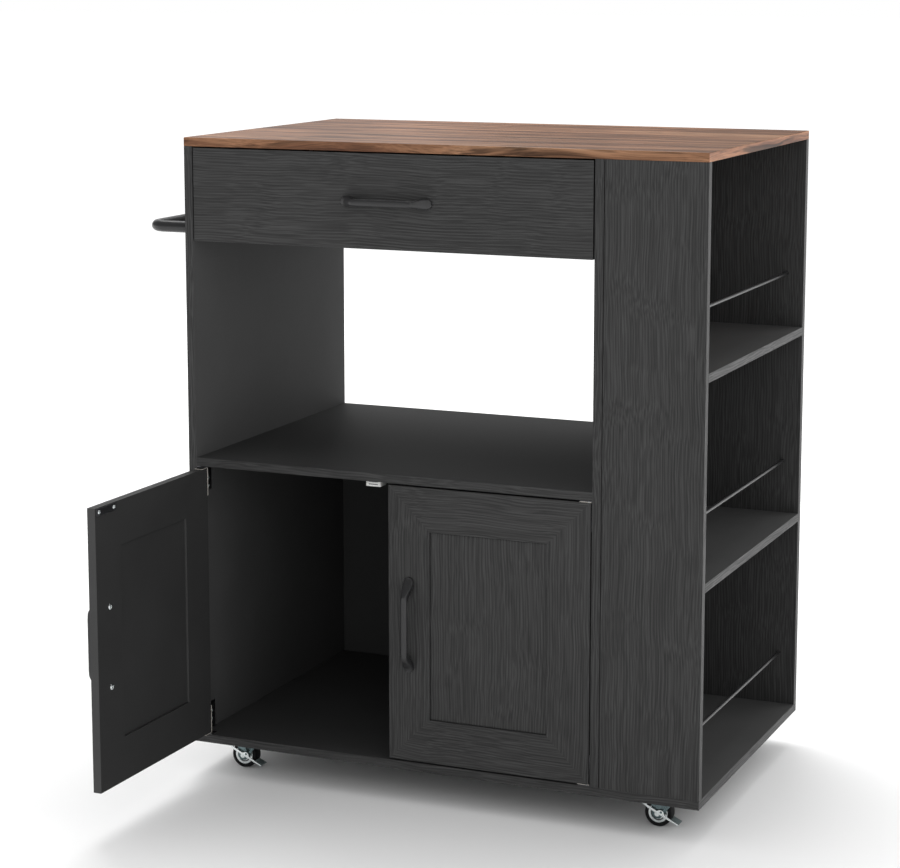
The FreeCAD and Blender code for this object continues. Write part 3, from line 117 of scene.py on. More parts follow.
def stretched(tree, place, along, long, wide):
    """The place scaled so that one unit is long metres along an axis and wide metres across it."""
    sizes = [1 / long if axis == along else 1 / wide for axis in "XYZ"]
    return add(tree, "Mapping", {"Vector": place, "Scale": sizes}).outputs["Vector"]


def noise(tree, vector, detail=3.0, roughness=0.6, scale=1.0):
    return add(tree, "TexNoise", {"Vector": vector, "Scale": scale, "Detail": detail,
                                  "Roughness": roughness}).outputs["Fac"]


def ramp(tree, factor, stops):
    """A colour ramp from (place, colour) pairs; a colour is a grey or three numbers."""
    made = add(tree, "ValToRGB", {"Fac": factor})
    elements = made.color_ramp.elements
    while len(elements) < len(stops):
        elements.new(0.5)
    for element, (place, colour) in zip(elements, stops):
        rgb = colour if isinstance(colour, tuple) else (colour,) * 3
        element.position = place
        element.color = (*rgb, 1)
    return made.outputs["Color"]


def multiplied(tree, first, second):
    """Two colours multiplied; 6 and 7 are the Mix node's colour inputs and 2 its colour output."""
    return add(tree, "Mix", {0: 1.0, 6: first, 7: second}, data_type="RGBA",
               blend_type="MULTIPLY").outputs[2]


def ranged(tree, value, low, high, start=0.0, end=1.0, kind="LINEAR"):
    """A value between start and end, mapped to between low and high."""
    return add(tree, "MapRange", {"Value": value, 1: start, 2: end, 3: low, 4: high},
               interpolation_type=kind).outputs[0]


def to_shader(tree, shader, **sockets):
    for name, socket in sockets.items():
        tree.links.new(socket, shader.inputs[name.replace("_", " ")])


def bumped(tree, shader, height, distance):
    bump = add(tree, "Bump", {"Height": height, "Distance": distance, "Strength": 1.0})
    to_shader(tree, shader, Normal=bump.outputs["Normal"])


# ---------------------------------------------------------------------------------------------
# Materials
# ---------------------------------------------------------------------------------------------

def charcoal(name, along, dark, light, relief):
    """Charcoal laminate with an embossed grain: fine wavy lines along one axis."""
    made, tree, shader = new_material(name, Specular_IOR_Level=0.24)
    place = swirled(tree, 6.0, 0.016)
    drawn = stretched(tree, place, along, 0.9, 0.0064)
    ridges = add(tree, "TexWave", {"Vector": drawn, "Scale": 1.0, "Distortion": 3.0,
                                   "Detail": 2.0, "Detail Scale": 0.7},
                 wave_type="BANDS", bands_direction="DIAGONAL").outputs["Fac"]
    fibres = noise(tree, stretched(tree, place, along, 0.14, 0.0011), detail=1.5, roughness=0.4)
    lines = maths(tree, "ADD", maths(tree, "MULTIPLY", ridges, 0.16),
                  maths(tree, "MULTIPLY", fibres, 0.84))
    pores = noise(tree, stretched(tree, place, along, 0.05, 0.0008), detail=2.0)
    cloud = noise(tree, stretched(tree, place, along, 0.40, 0.05), detail=2.0)
    tone = ramp(tree, lines, ((0.37, dark), (0.50, dark * 0.6 + light * 0.4), (0.63, light)))
    for factor, low, high in ((pores, 0.88, 1.10), (cloud, 0.95, 1.05)):
        tone = multiplied(tree, tone, ramp(tree, factor, ((0.35, low), (0.65, high))))
    rough = ranged(tree, lines, 0.62, 0.46, 0.35, 0.65)
    to_shader(tree, shader, Base_Color=tone, Roughness=rough)
    bumped(tree, shader, lines, relief)
    return made


def matt_board(name, tone):
    """Smooth charcoal laminate: a very fine print, faint clouding and a powdery touch."""
    made, tree, shader = new_material(name, Specular_IOR_Level=0.04)
    place = add(tree, "TexCoord").outputs["Object"]
    speck = noise(tree, place, detail=4.0, scale=900.0)
    cloud = noise(tree, place, detail=3.0, scale=7.0)
    blend = maths(tree, "ADD", maths(tree, "MULTIPLY", speck, 0.55),
                  maths(tree, "MULTIPLY", cloud, 0.45))
    colour = ramp(tree, blend, ((0.35, tone * 0.88), (0.65, tone * 1.12)))
    rough = ranged(tree, cloud, 0.56, 0.66)
    to_shader(tree, shader, Base_Color=colour, Roughness=rough)
    bumped(tree, shader, speck, 0.00004)
    return made


def walnut(name, along, painted_lift=1.0):
    """Rustic walnut decor: long broad figure, dark veins, fine fibres and a satin print.

    The lift factor makes it paler. On the worktop's right-facing edge it paints the light falling from the right.
    """
    made, tree, shader = new_material(name, Specular_IOR_Level=0.14)
    place = swirled(tree, 3.2, 0.055)
    figure = noise(tree, stretched(tree, place, along, 0.46, 0.026), detail=5.0, roughness=0.55)
    fibres = noise(tree, stretched(tree, place, along, 0.09, 0.0016), detail=3.0)
    veins = noise(tree, stretched(tree, place, along, 0.34, 0.010), detail=2.0)
    clouds = noise(tree, place, detail=2.0, scale=4.5)
    stops = ((0.30, (0.080, 0.034, 0.020)), (0.42, (0.160, 0.074, 0.040)),
             (0.52, (0.240, 0.118, 0.064)), (0.62, (0.310, 0.160, 0.088)),
             (0.74, (0.385, 0.220, 0.130)))
    colour = ramp(tree, figure, [(place, tuple(part * painted_lift for part in tone))
                                 for place, tone in stops])
    vein_tone = ramp(tree, veins, ((0.35, 0.36), (0.46, 1.0)))
    fibre_tone = ramp(tree, fibres, ((0.32, 0.64), (0.62, 1.16)))
    cloud_tone = ramp(tree, clouds, ((0.35, 0.82), (0.65, 1.10)))
    for tone in (vein_tone, fibre_tone, cloud_tone):
        colour = multiplied(tree, colour, tone)
    rough = ranged(tree, fibres, 0.40, 0.54)
    to_shader(tree, shader, Base_Color=colour, Roughness=rough)
    bumped(tree, shader, fibres, 0.00010)
    return made


def metal(name, colour, rough, metallic=1.0):
    """Plated steel: cloudy spangle in its colour and gloss, and a faint uneven surface."""
    made, tree, shader = new_material(name, Metallic=metallic)
    place = add(tree, "TexCoord").outputs["Object"]
    spangle = noise(tree, place, detail=3.0, scale=420.0)
    low = tuple(part * 0.80 for part in colour)
    to_shader(tree, shader, Base_Color=ramp(tree, spangle, ((0.35, low), (0.68, colour))))
    to_shader(tree, shader, Roughness=ranged(tree, spangle, rough - 0.05, rough + 0.10))
    bumped(tree, shader, spangle, 0.00002)
    return made


def coating(name, colour, rough, relief, scale, level=0.5):
    """Powder coat, moulded plastic or rubber: one colour with a fine pebbled surface."""
    made, tree, shader = new_material(name, Specular_IOR_Level=level)
    place = add(tree, "TexCoord").outputs["Object"]
    pebble = noise(tree, place, detail=2.0, scale=scale)
    low = tuple(part * 0.85 for part in colour)
    high = tuple(part * 1.12 for part in colour)
    to_shader(tree, shader, Base_Color=ramp(tree, pebble, ((0.35, low), (0.65, high))))
    to_shader(tree, shader, Roughness=ranged(tree, pebble, rough - 0.05, rough + 0.08))
    bumped(tree, shader, pebble, relief)
    return made


def beech(name):
    """Turned beech of the dowels."""
    made, tree, shader = new_material(name, Specular_IOR_Level=0.3, Roughness=0.6)
    place = add(tree, "TexCoord").outputs["Object"]
    fleck = noise(tree, place, detail=3.0, scale=600.0)
    to_shader(tree, shader, Base_Color=ramp(tree, fleck, (
        (0.35, (0.47, 0.33, 0.19)), (0.65, (0.62, 0.47, 0.30)))))
    bumped(tree, shader, fleck, 0.00005)
    return made


GRAIN_DARK = 0.0252
GRAIN_LIGHT = 0.0476
GRAIN_RELIEF = 0.00018
LOOKS = {
    "grain_x": charcoal("charcoal_grain_x", "X", GRAIN_DARK, GRAIN_LIGHT, GRAIN_RELIEF),
    "grain_y": charcoal("charcoal_grain_y", "Y", GRAIN_DARK, GRAIN_LIGHT, GRAIN_RELIEF),
    "grain_z": charcoal("charcoal_grain_z", "Z", GRAIN_DARK, GRAIN_LIGHT, GRAIN_RELIEF),
    "board": matt_board("charcoal_board", 0.045),
    # A lighter copy of the board for the walls of the left panel and divider: painted light coming in through the
    # open side.
    "lit_panel_board": matt_board("charcoal_lit_panel_board", 0.063),
    "door_back": matt_board("charcoal_door_back", 0.034),
    # A lighter copy of the laminate for the doors' side edges: painted light catching the edges.
    "lit_door_edge": matt_board("charcoal_lit_door_edge", 0.064),
    # Lighter copies of the grain for right-facing edges: painted light from the right side.
    "lit_side_edge": charcoal("charcoal_lit_side_edge_z", "Z", 0.048, 0.072, GRAIN_RELIEF / 2),
    "lit_shelf_edge": charcoal("charcoal_lit_shelf_edge_y", "Y", 0.045, 0.069, GRAIN_RELIEF / 2),
    # A lighter copy of the board for shelf tops in the side bay: painted light entering the bay from the right.
    "lit_bay_board": matt_board("charcoal_lit_bay_board", 0.082),
    "walnut": walnut("walnut_decor", "X"),
    # A paler copy of the walnut for the worktop's right edge: painted light from the right.
    "walnut_lit_side": walnut("walnut_decor_lit_side", "Y", 2.2),
    "black_metal": coating("black_powder_coat", (0.020, 0.020, 0.021), 0.31, 0.00003, 1500.0),
    "zinc": metal("zinc_plate", (0.60, 0.66, 0.68), 0.26),
    # A darkened teal zinc for the forks. The teal is the plating's own tint, and the darkness is a painted
    # reflection of the cart's dark underside.
    "blue_zinc": metal("blue_zinc", (0.17, 0.23, 0.24), 0.24),
    "nickel": metal("dull_nickel", (0.72, 0.68, 0.62), 0.36, metallic=0.4),
    "pedal": metal("pedal_zinc", (0.34, 0.41, 0.42), 0.36, metallic=0.5),
    "bright_zinc": metal("bright_zinc", (0.93, 0.98, 0.98), 0.22),
    "dark_steel": metal("dark_steel", (0.16, 0.16, 0.17), 0.36),
    "tyre": coating("tyre_rubber", (0.006, 0.006, 0.007), 0.60, 0.00006, 1800.0, 0.2),
    "white_plastic": coating("white_plastic", (0.78, 0.78, 0.76), 0.36, 0.00002, 900.0),
    "beech": beech("beech_dowel"),
}


# ---------------------------------------------------------------------------------------------
# Mesh helpers
# ---------------------------------------------------------------------------------------------

# A face whose normal is above FACING along an axis faces that way. Edges longer than
# SHORT_EDGE on hardware and LONG_EDGE on boards and rails are rounded.
FACING = 0.9
SAME_POINT = 1e-6
SAME_LEVEL = 0.01 * MM
SAME_EDGE = 0.05 * MM
SHORT_EDGE = 2.5 * MM
LONG_EDGE = 9 * MM
SEAM_DEPTH = 3 * MM
LATHE_SEGMENTS = 72


def settle(name, node, shape, looks, smooth_angle=None, added_slot=None):
    """Make a piece of a shape: it stands for a CAD node and rides on its body.

    Each face's material_index picks one of the looks. A piece with an added_slot only rides
    on the node's body, beside the piece that stands for it.
    """
    mesh = bpy.data.meshes.new(name)
    bmesh.ops.recalc_face_normals(shape, faces=shape.faces)
    shape.to_mesh(mesh)
    shape.free()
    for look in looks:
        mesh.materials.append(LOOKS[look])
    if smooth_angle is None:
        mesh.shade_flat()
    else:
        mesh.shade_smooth()
        mesh.set_sharp_from_angle(angle=math.radians(smooth_angle))
    piece = bpy.data.objects.new(name, mesh)
    bpy.context.scene.collection.objects.link(piece)
    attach(piece, BODY_OF[node])
    if added_slot:
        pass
    else:
        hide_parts(node)


def welded(node):
    """The CAD node's triangles, joined at their corners."""
    shape = bmesh.new()
    shape.from_mesh(NODES[node].data)
    bmesh.ops.remove_doubles(shape, verts=shape.verts, dist=SAME_POINT)
    return shape


def cleaned(node):
    """The CAD node's faces as a welded mesh with its flat triangles merged."""
    shape = welded(node)
    bmesh.ops.dissolve_limit(shape, angle_limit=math.radians(0.5), verts=shape.verts,
                             edges=shape.edges, use_dissolve_boundaries=False)
    return shape


def eased(shape, width, shortest, spared=()):
    """Round every long sharp edge, so that it catches the light as a real one does."""
    sharp = [edge for edge in shape.edges
             if len(edge.link_faces) == 2 and edge.calc_length() > shortest
             and edge.calc_face_angle(0) > math.radians(30) and edge not in spared]
    bmesh.ops.bevel(shape, geom=sharp, offset=width, segments=2, profile=0.5,
                    affect="EDGES", clamp_overlap=False)


def extent(points):
    """The low and high corners of the box round some points."""
    return (Vector([min(point[axis] for point in points) for axis in range(3)]),
            Vector([max(point[axis] for point in points) for axis in range(3)]))


def islands(node, turn):
    """The separate solids of a CAD node, as lists of points in the axes of their body."""
    shape = welded(node)
    seen = set()
    found = []
    for first in shape.verts:
        if first in seen:
            continue
        seen.add(first)
        pile = [first]
        points = []
        while pile:
            vertex = pile.pop()
            points.append(turn @ vertex.co)
            for edge in vertex.link_edges:
                other = edge.other_vert(vertex)
                if other not in seen:
                    seen.add(other)
                    pile.append(other)
        found.append(points)
    shape.free()
    return found


def left_front_edge(shape, low):
    return [edge for edge in shape.edges
            if all((vertex.co - low).xy.length < SAME_EDGE for vertex in edge.verts)]


def cut_seam(shape, low, width):
    """A deep rebate down the left front edge, which shows as a fine dark line."""
    bmesh.ops.bevel(shape, geom=left_front_edge(shape, low), offset=width, segments=2,
                    profile=0.0, affect="EDGES")
    for vertex in shape.verts:
        beside = vertex.co - low
        if abs(beside.y - width) < SAME_LEVEL and beside.x < width + SAME_LEVEL:
            vertex.co.y = low.y + SEAM_DEPTH


def board(node, faces, edges=None, side="lit_side_edge", outer=None, width=0.5 * MM, seam=0.0,
          bay=None):
    """A panel: its faces in one look, its edges in another, and its right-facing edges at the open end in a
    lighter look, which paints the light falling from the right.

    outer is the look of the face that points to the cart's left. seam is the width of a
    rebate beside the next board. bay is the look of the top in the side bay, past the divider: a lighter copy that
    paints the light entering the bay from the right.
    """
    shape = cleaned(node)
    low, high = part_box(node)
    eased(shape, width, LONG_EDGE, spared=left_front_edge(shape, low) if seam else ())
    if seam:
        cut_seam(shape, low, seam)
    if bay:
        bmesh.ops.bisect_plane(shape, geom=shape.verts[:] + shape.edges[:] + shape.faces[:],
                               plane_co=DIVIDER, plane_no=(1, 0, 0))
    bmesh.ops.recalc_face_normals(shape, faces=shape.faces)
    thin = min(range(3), key=lambda axis: high[axis] - low[axis])
    for face in shape.faces:
        middle, normal = face.calc_center_median(), face.normal
        flat = abs(normal[thin]) > FACING
        # A right-facing face at the board's right end takes the side look. On most boards this is a lighter copy
        # that paints light from the right.
        painted_light_edge = normal.x > FACING and middle.x > high.x - MM
        face.material_index = 0 if flat else (2 if painted_light_edge else 1)
        if flat and normal.x < -FACING:
            face.material_index = 3
        # Tops past the divider take the bay look, a lighter copy that paints the light in the side bay.
        if bay and normal.z > FACING and middle.x > DIVIDER.x:
            face.material_index = 4
    settle(node + "_panel", node, shape,
           [faces, edges or faces, side, outer or faces, bay or faces])


def refined(node, look=None, width=0.3 * MM, shortest=SHORT_EDGE, smooth=35):
    """A hardware piece: the CAD shape, cleaned, its rounds smooth and its long edges eased.

    A width of 0 leaves the edges as they are. The look is the one of the node's slot, if no
    other is given.
    """
    shape = cleaned(node)
    if width:
        eased(shape, width, shortest)
    settle(node + "_piece", node, shape, [look or SLOT_OF[node]], smooth)


def lathe(profile, centre):
    """Turn a closed profile of (distance, place along Y) pairs round the Y axis of a centre."""
    shape = bmesh.new()
    rings = []
    for step in range(LATHE_SEGMENTS):
        angle = 2 * math.pi * step / LATHE_SEGMENTS
        rings.append([shape.verts.new((centre[0] + radius * math.cos(angle), centre[1] + place,
                                       centre[2] + radius * math.sin(angle)))
                      for radius, place in profile])
    count = len(profile)
    for step in range(LATHE_SEGMENTS):
        here, there = rings[step], rings[(step + 1) % LATHE_SEGMENTS]
        for index in range(count):
            after = (index + 1) % count
            shape.faces.new((here[index], here[after], there[after], there[index]))
    return shape


def closed_left_door():
    """The move from the open left door to its hinge's axes with the door closed."""
    hinge = JOINTS["left_door_hinge"]
    return (Matrix.Rotation(math.radians(hinge["range_deg"][1]), 4, "Z")
            @ Matrix.Translation(-Vector(hinge["pos_m"])))


def prism(shape, outline, low, high, rounded, width):
    """A flat outline in X and Z, given thickness along Y from low to high.

    rounded holds the indices of the outline's sides whose edges on both faces are rounded,
    and width is how far.
    """
    front = [shape.verts.new((x, low, z)) for x, z in outline]
    back = [shape.verts.new((x, high, z)) for x, z in outline]
    count = len(outline)
    shape.faces.new(front)
    shape.faces.new(list(reversed(back)))
    edges = []
    for index in range(count):
        after = (index + 1) % count
        shape.faces.new((front[after], front[index], back[index], back[after]))
        if index in rounded:
            edges.append(shape.edges.get((front[index], front[after])))
            edges.append(shape.edges.get((back[index], back[after])))
    bmesh.ops.bevel(shape, geom=edges, offset=width, segments=2, profile=0.5,
                    affect="EDGES", clamp_overlap=False)


# ---------------------------------------------------------------------------------------------
# Cabinet boards
# ---------------------------------------------------------------------------------------------

DIVIDER = sum(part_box("divider_panel"), Vector()) / 2

# The worktop's right edge takes the paler walnut, which is painted light.
board("worktop", "walnut", side="walnut_lit_side", width=0.35 * MM)
board("front_panel", "grain_z", seam=1.3 * MM)
board("rear_panel", "grain_z")
board("drawer_front", "grain_x", side="grain_z")
# These walls take the lighter board copy, which is painted light.
board("left_panel", "lit_panel_board", edges="grain_z", outer="grain_z")
board("divider_panel", "lit_panel_board", edges="grain_z")
for node in ("bottom_board", "upper_side_shelf", "lower_side_shelf"):
    board(node, "board", edges="grain_x", side="lit_shelf_edge", bay="lit_bay_board")
board("middle_shelf", "board", edges="grain_x")
for node in ("rear_rail", "cupboard_back", "drawer_left_side", "drawer_right_side",
             "drawer_back", "drawer_bottom"):
    board(node, "board", side="board", width=0.3 * MM)


# ---------------------------------------------------------------------------------------------
# Doors: mitred frame round a sunk panel, drawn closed from the hinge axis
# ---------------------------------------------------------------------------------------------

DOOR_FRAME = 60 * MM
DOOR_RECESS = 2.5 * MM
PANEL_LAP = 0.2 * MM
PANEL_EASE = 1.5 * MM
DOOR_EASE = 0.4 * MM


def door(name, side, rail_look):
    """A door's leaf; side is 1 if it is hinged on its left and -1 if on its right."""
    hinge = JOINTS[name + "_hinge"]
    low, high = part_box("right_door")
    right_pivot = Vector(JOINTS["right_door_hinge"]["pos_m"])
    far = right_pivot.x - low.x
    near = high.x - right_pivot.x
    front = low.y - right_pivot.y
    back = high.y - right_pivot.y
    left, right = sorted((-side * near, side * far))
    foot, head = low.z, high.z
    inner = (left + DOOR_FRAME, foot + DOOR_FRAME, right - DOOR_FRAME, head - DOOR_FRAME)
    shape = bmesh.new()
    stiles = (((left, foot), (inner[0], inner[1]), (inner[0], inner[3]), (left, head)),
              ((right, head), (inner[2], inner[3]), (inner[2], inner[1]), (right, foot)))
    rails = (((left, head), (inner[0], inner[3]), (inner[2], inner[3]), (right, head)),
             ((right, foot), (inner[2], inner[1]), (inner[0], inner[1]), (left, foot)))
    for outline in stiles:
        prism(shape, outline, front, back, (1, 3), DOOR_EASE)
    prism(shape, ((inner[0] - PANEL_LAP, inner[1] - PANEL_LAP),
                  (inner[2] + PANEL_LAP, inner[1] - PANEL_LAP),
                  (inner[2] + PANEL_LAP, inner[3] + PANEL_LAP),
                  (inner[0] - PANEL_LAP, inner[3] + PANEL_LAP)),
          front + DOOR_RECESS, back - DOOR_RECESS, range(4), PANEL_EASE)
    upright = set(shape.faces)
    for outline in rails:
        prism(shape, outline, front, back, (1, 3), DOOR_EASE)
    bmesh.ops.recalc_face_normals(shape, faces=shape.faces)
    for face in shape.faces:
        grain = 0 if face in upright else 1
        rim = (abs(face.normal.x) > FACING
               and not inner[0] < face.calc_center_median().x < inner[2])
        # Side rims take the lighter edge look, which is painted light on the door's edges.
        face.material_index = 2 if face.normal.y > FACING else (3 if rim else grain)
    open_angle = -hinge["range_deg"][1] if side > 0 else 0.0
    pivot = Vector(hinge["pos_m"])
    pivot.z = 0
    turn = Matrix.Translation(pivot) @ Matrix.Rotation(math.radians(open_angle), 4, "Z")
    bmesh.ops.transform(shape, matrix=turn, verts=shape.verts)
    settle(name + "_leaf", name, shape, ["grain_z", rail_look, "door_back", "lit_door_edge"])


door("left_door", 1, "grain_y")
door("right_door", -1, "grain_x")


# ---------------------------------------------------------------------------------------------
# Handles: an arched bar that widens to a round pad at each end
# ---------------------------------------------------------------------------------------------

PAD_RADIUS = 7 * MM
GRIP_HALF_WIDTH = 4.8 * MM
GRIP_OUTER = 21 * MM
GRIP_INNER = 15 * MM
PAD_EDGE = 3 * MM
SQUARENESS = 0.62
AROUND = 28
# Where, from a handle's end, it narrows to the grip, rises off the face and turns hollow below.
WAIST = (11 * MM, 24 * MM)
RISE = (0.5 * MM, 25 * MM)
HOLLOW = (15 * MM, 33 * MM)
END_MARKS = [mark * MM for mark in (0.15, 0.5, 1.1, 2.0, 3.2, 4.8, 6.5,
                                    *(8 + 1.5 * step for step in range(19)))]


def smooth_step(low, high, value):
    share = min(1.0, max(0.0, (value - low) / (high - low)))
    return share * share * (3 - 2 * share)


def handle_station(distance):
    """Half width, inner level and outer level at a distance from the handle's end."""
    if distance < PAD_RADIUS:
        round_end = math.sqrt(max(0.0, PAD_RADIUS ** 2 - (PAD_RADIUS - distance) ** 2))
    else:
        round_end = PAD_RADIUS
    half_width = round_end + (GRIP_HALF_WIDTH - PAD_RADIUS) * smooth_step(*WAIST, distance)
    outer = PAD_EDGE + (GRIP_OUTER - PAD_EDGE) * smooth_step(*RISE, distance)
    inner = GRIP_INNER * smooth_step(*HOLLOW, distance)
    return half_width, inner, outer


def squared(wave, half):
    """A share of a squarish round section, from a cosine or sine."""
    return math.copysign(abs(wave) ** SQUARENESS, wave) * half


def handle(length):
    """The bar, drawn along local X with its pads on the plane Y = 0 and its grip towards -Y."""
    shape = bmesh.new()
    rings = []
    for mark in END_MARKS + [length / 2] + [length - mark for mark in reversed(END_MARKS)]:
        half_width, inner, outer = handle_station(min(mark, length - mark))
        middle, half_depth = (inner + outer) / 2, (outer - inner) / 2
        ring = []
        for step in range(AROUND):
            angle = 2 * math.pi * step / AROUND
            across = squared(math.cos(angle), half_width)
            out = squared(math.sin(angle), half_depth)
            ring.append(shape.verts.new((mark - length / 2, -middle + out, across)))
        rings.append(ring)
    for here, there in zip(rings, rings[1:]):
        for step in range(AROUND):
            after = (step + 1) % AROUND
            shape.faces.new((here[step], here[after], there[after], there[step]))
    shape.faces.new(rings[0])
    shape.faces.new(list(reversed(rings[-1])))
    return shape


def place_handle(node, along, outward):
    """Put a handle where its CAD node is: along is its long axis, outward points off the face."""
    low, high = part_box(node)
    middle = (low + high) / 2
    length = (high - low).dot(Vector([abs(part) for part in along]))
    shape = handle(length)
    face = middle - outward * (abs((high - low).dot(outward)) / 2)
    basis = Matrix((along, -outward, along.cross(-outward))).transposed().to_4x4()
    bmesh.ops.transform(shape, matrix=Matrix.Translation(face) @ basis, verts=shape.verts)
    settle(node + "_bar", node, shape, ["black_metal"], 50)


RIGHT, BACK, UP = Vector((1, 0, 0)), Vector((0, 1, 0)), Vector((0, 0, 1))
place_handle("drawer_handle", RIGHT, -BACK)
place_handle("right_door_handle", UP, -BACK)
place_handle("left_door_handle", UP, -RIGHT)


# ---------------------------------------------------------------------------------------------
# Hardware that keeps its CAD shape
# ---------------------------------------------------------------------------------------------

GLINT_FACING = 0.7
LEAF_PROUD = 0.9 * MM
LEAF_EASE = 0.12 * MM
POLE_INSET = 4 * MM
POLE_HALF = 0.6 * MM
POLE_PROUD = 0.2 * MM
POLE_DEPTH = 1.5 * MM
POLE_EASE = 0.12 * MM
POLE_LEVELS = (0.32, 0.68)

for node in ("towel_bar", "guard_rods"):
    refined(node, width=0, smooth=40)
# The plates are drawn all in dark steel, a darkened copy of their plating that paints the dark interior they
# reflect.
refined("hinge_plates", "dark_steel", width=0.15 * MM)


def hinge_leaves(node, turn, inward):
    """A door's bent leaves, one plated sheet in two looks: dark steel on its broad faces, a painted reflection of
    the dark interior, and bright nickel on faces turned back, inward or, on the tab, to the front, a painted
    highlight.

    turn takes the mesh to the closed door's axes, and inward is the sign of X from the hinge
    to the door. The back edge stands a little proud of the door.
    """
    shape = cleaned(node)
    back = max((turn @ vertex.co).y for vertex in shape.verts)
    proud = turn.to_3x3().inverted() @ Vector((0, LEAF_PROUD, 0))
    for vertex in shape.verts:
        if back - (turn @ vertex.co).y < SAME_LEVEL:
            vertex.co += proud
    eased(shape, LEAF_EASE, SHORT_EDGE)
    bmesh.ops.recalc_face_normals(shape, faces=shape.faces)
    for face in shape.faces:
        normal = turn.to_3x3() @ face.normal
        low, high = extent([turn @ vertex.co for vertex in face.verts])
        # Faces turned to the light take nickel, a painted highlight. The rest take dark steel, a painted
        # reflection of the dark interior.
        tab_front = normal.y < -GLINT_FACING and high.x - low.x > high.z - low.z
        bright = tab_front or normal.y > GLINT_FACING or normal.x * inward > GLINT_FACING
        face.material_index = 1 if bright else 0
    settle(node + "_piece", node, shape, ["dark_steel", "nickel"], 35)


hinge_leaves("left_hinge_leaves", closed_left_door(), 1)
hinge_leaves("right_hinge_leaves", Matrix.Identity(4), -1)
for node in ("left_strike_plate", "right_strike_plate"):
    refined(node, width=0.2 * MM)
refined("magnetic_catches", width=0.6 * MM)


def pole_plates():
    """Two steel pole plates that show on the front of each magnetic catch."""
    shape = bmesh.new()
    for points in islands("magnetic_catches", Matrix.Identity(4)):
        low, high = extent(points)
        left, right = low.x + POLE_INSET, high.x - POLE_INSET
        for share in POLE_LEVELS:
            level = low.z + (high.z - low.z) * share
            outline = ((left, level - POLE_HALF), (right, level - POLE_HALF),
                       (right, level + POLE_HALF), (left, level + POLE_HALF))
            prism(shape, outline, low.y - POLE_PROUD, low.y + POLE_DEPTH, range(4), POLE_EASE)
    settle("catch_pole_plates", "magnetic_catches", shape, ["dark_steel"],
           added_slot="dark_steel")


pole_plates()
for node in ("hinge_pins", "cam_locks"):
    refined(node, width=0)
for node in ("cabinet_runners", "drawer_runners", "ball_cages", "caster_plates"):
    refined(node, width=0.2 * MM, shortest=LONG_EDGE)


# ---------------------------------------------------------------------------------------------
# Casters
# ---------------------------------------------------------------------------------------------

CASTERS = ("front_left", "front_right", "rear_left", "rear_right")
BRAKED = CASTERS[:2]
# The wheels' turned shapes, then the pedal's ribs and where a brake's faces count as its arms.
BORE = 2.6 * MM
RIM_SETBACK = 0.4 * MM
TYRE_GAP = 0.03 * MM
TYRE_SHOULDER = 2.2 * MM
TYRE_CROWN = 0.35 * MM
GROOVE = (8.5 * MM, 9.6 * MM)
RIBS = 4
RIB_HALF = 0.75 * MM
RIB_TOP = 0.45 * MM
RIB_HEIGHT = 0.55 * MM
RIB_ROOT = 0.3 * MM
RIB_INSET = 2.2 * MM
PEDAL_AREA = (12 * MM) ** 2
ARM_START = 0.42


def turned_piece(node, profile, looks):
    """A turned piece in the middle of its CAD node, its axis along Y.

    A second look is for its groove, where dark steel paints the shade in the recess.
    """
    low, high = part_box(node)
    middle = (low + high) / 2
    shape = lathe(profile, middle)
    for face in shape.faces:
        centre = face.calc_center_median() - middle
        grooved = GROOVE[0] < math.hypot(centre.x, centre.z) < GROOVE[1]
        face.material_index = 1 if grooved and len(looks) > 1 else 0
    settle(node + "_turned", node, shape, looks, 32)


def arc(centre, radius, start, end, steps):
    """Points of an arc for a lathe profile, in (distance, place) pairs."""
    points = []
    for step in range(steps + 1):
        angle = math.radians(start + (end - start) * step / steps)
        points.append((centre[0] + radius * math.cos(angle),
                       centre[1] + radius * math.sin(angle)))
    return points


def tyre_profile(radius, half, bore):
    """A crowned tread between two rounded shoulders."""
    turn = radius - TYRE_CROWN - TYRE_SHOULDER
    points = [(bore, -half + 0.4 * MM), (bore + 0.8 * MM, -half)]
    points += arc((turn, -half + TYRE_SHOULDER), TYRE_SHOULDER, -90, -8, 6)
    points += [(radius, 0)]
    points += arc((turn, half - TYRE_SHOULDER), TYRE_SHOULDER, 8, 90, 6)
    points += [(bore + 0.8 * MM, half), (bore, half - 0.4 * MM)]
    return points


def hub_profile(radius, half):
    """Rim lip, a deep groove, a dished web and a stepped boss, the same on both sides."""
    side = ((BORE, 0.7), (3.9 * MM, 0.7), (4.3 * MM, 0.4), (4.5 * MM, -0.3), (8.4 * MM, -0.5),
            (8.7 * MM, -1.6), (9.4 * MM, -1.6), (9.7 * MM, -0.3), (10.1 * MM, 0),
            (radius - 0.4 * MM, 0), (radius, -0.3))
    profile = [(distance, half + place * MM) for distance, place in side]
    return profile + [(distance, -place) for distance, place in reversed(profile)]


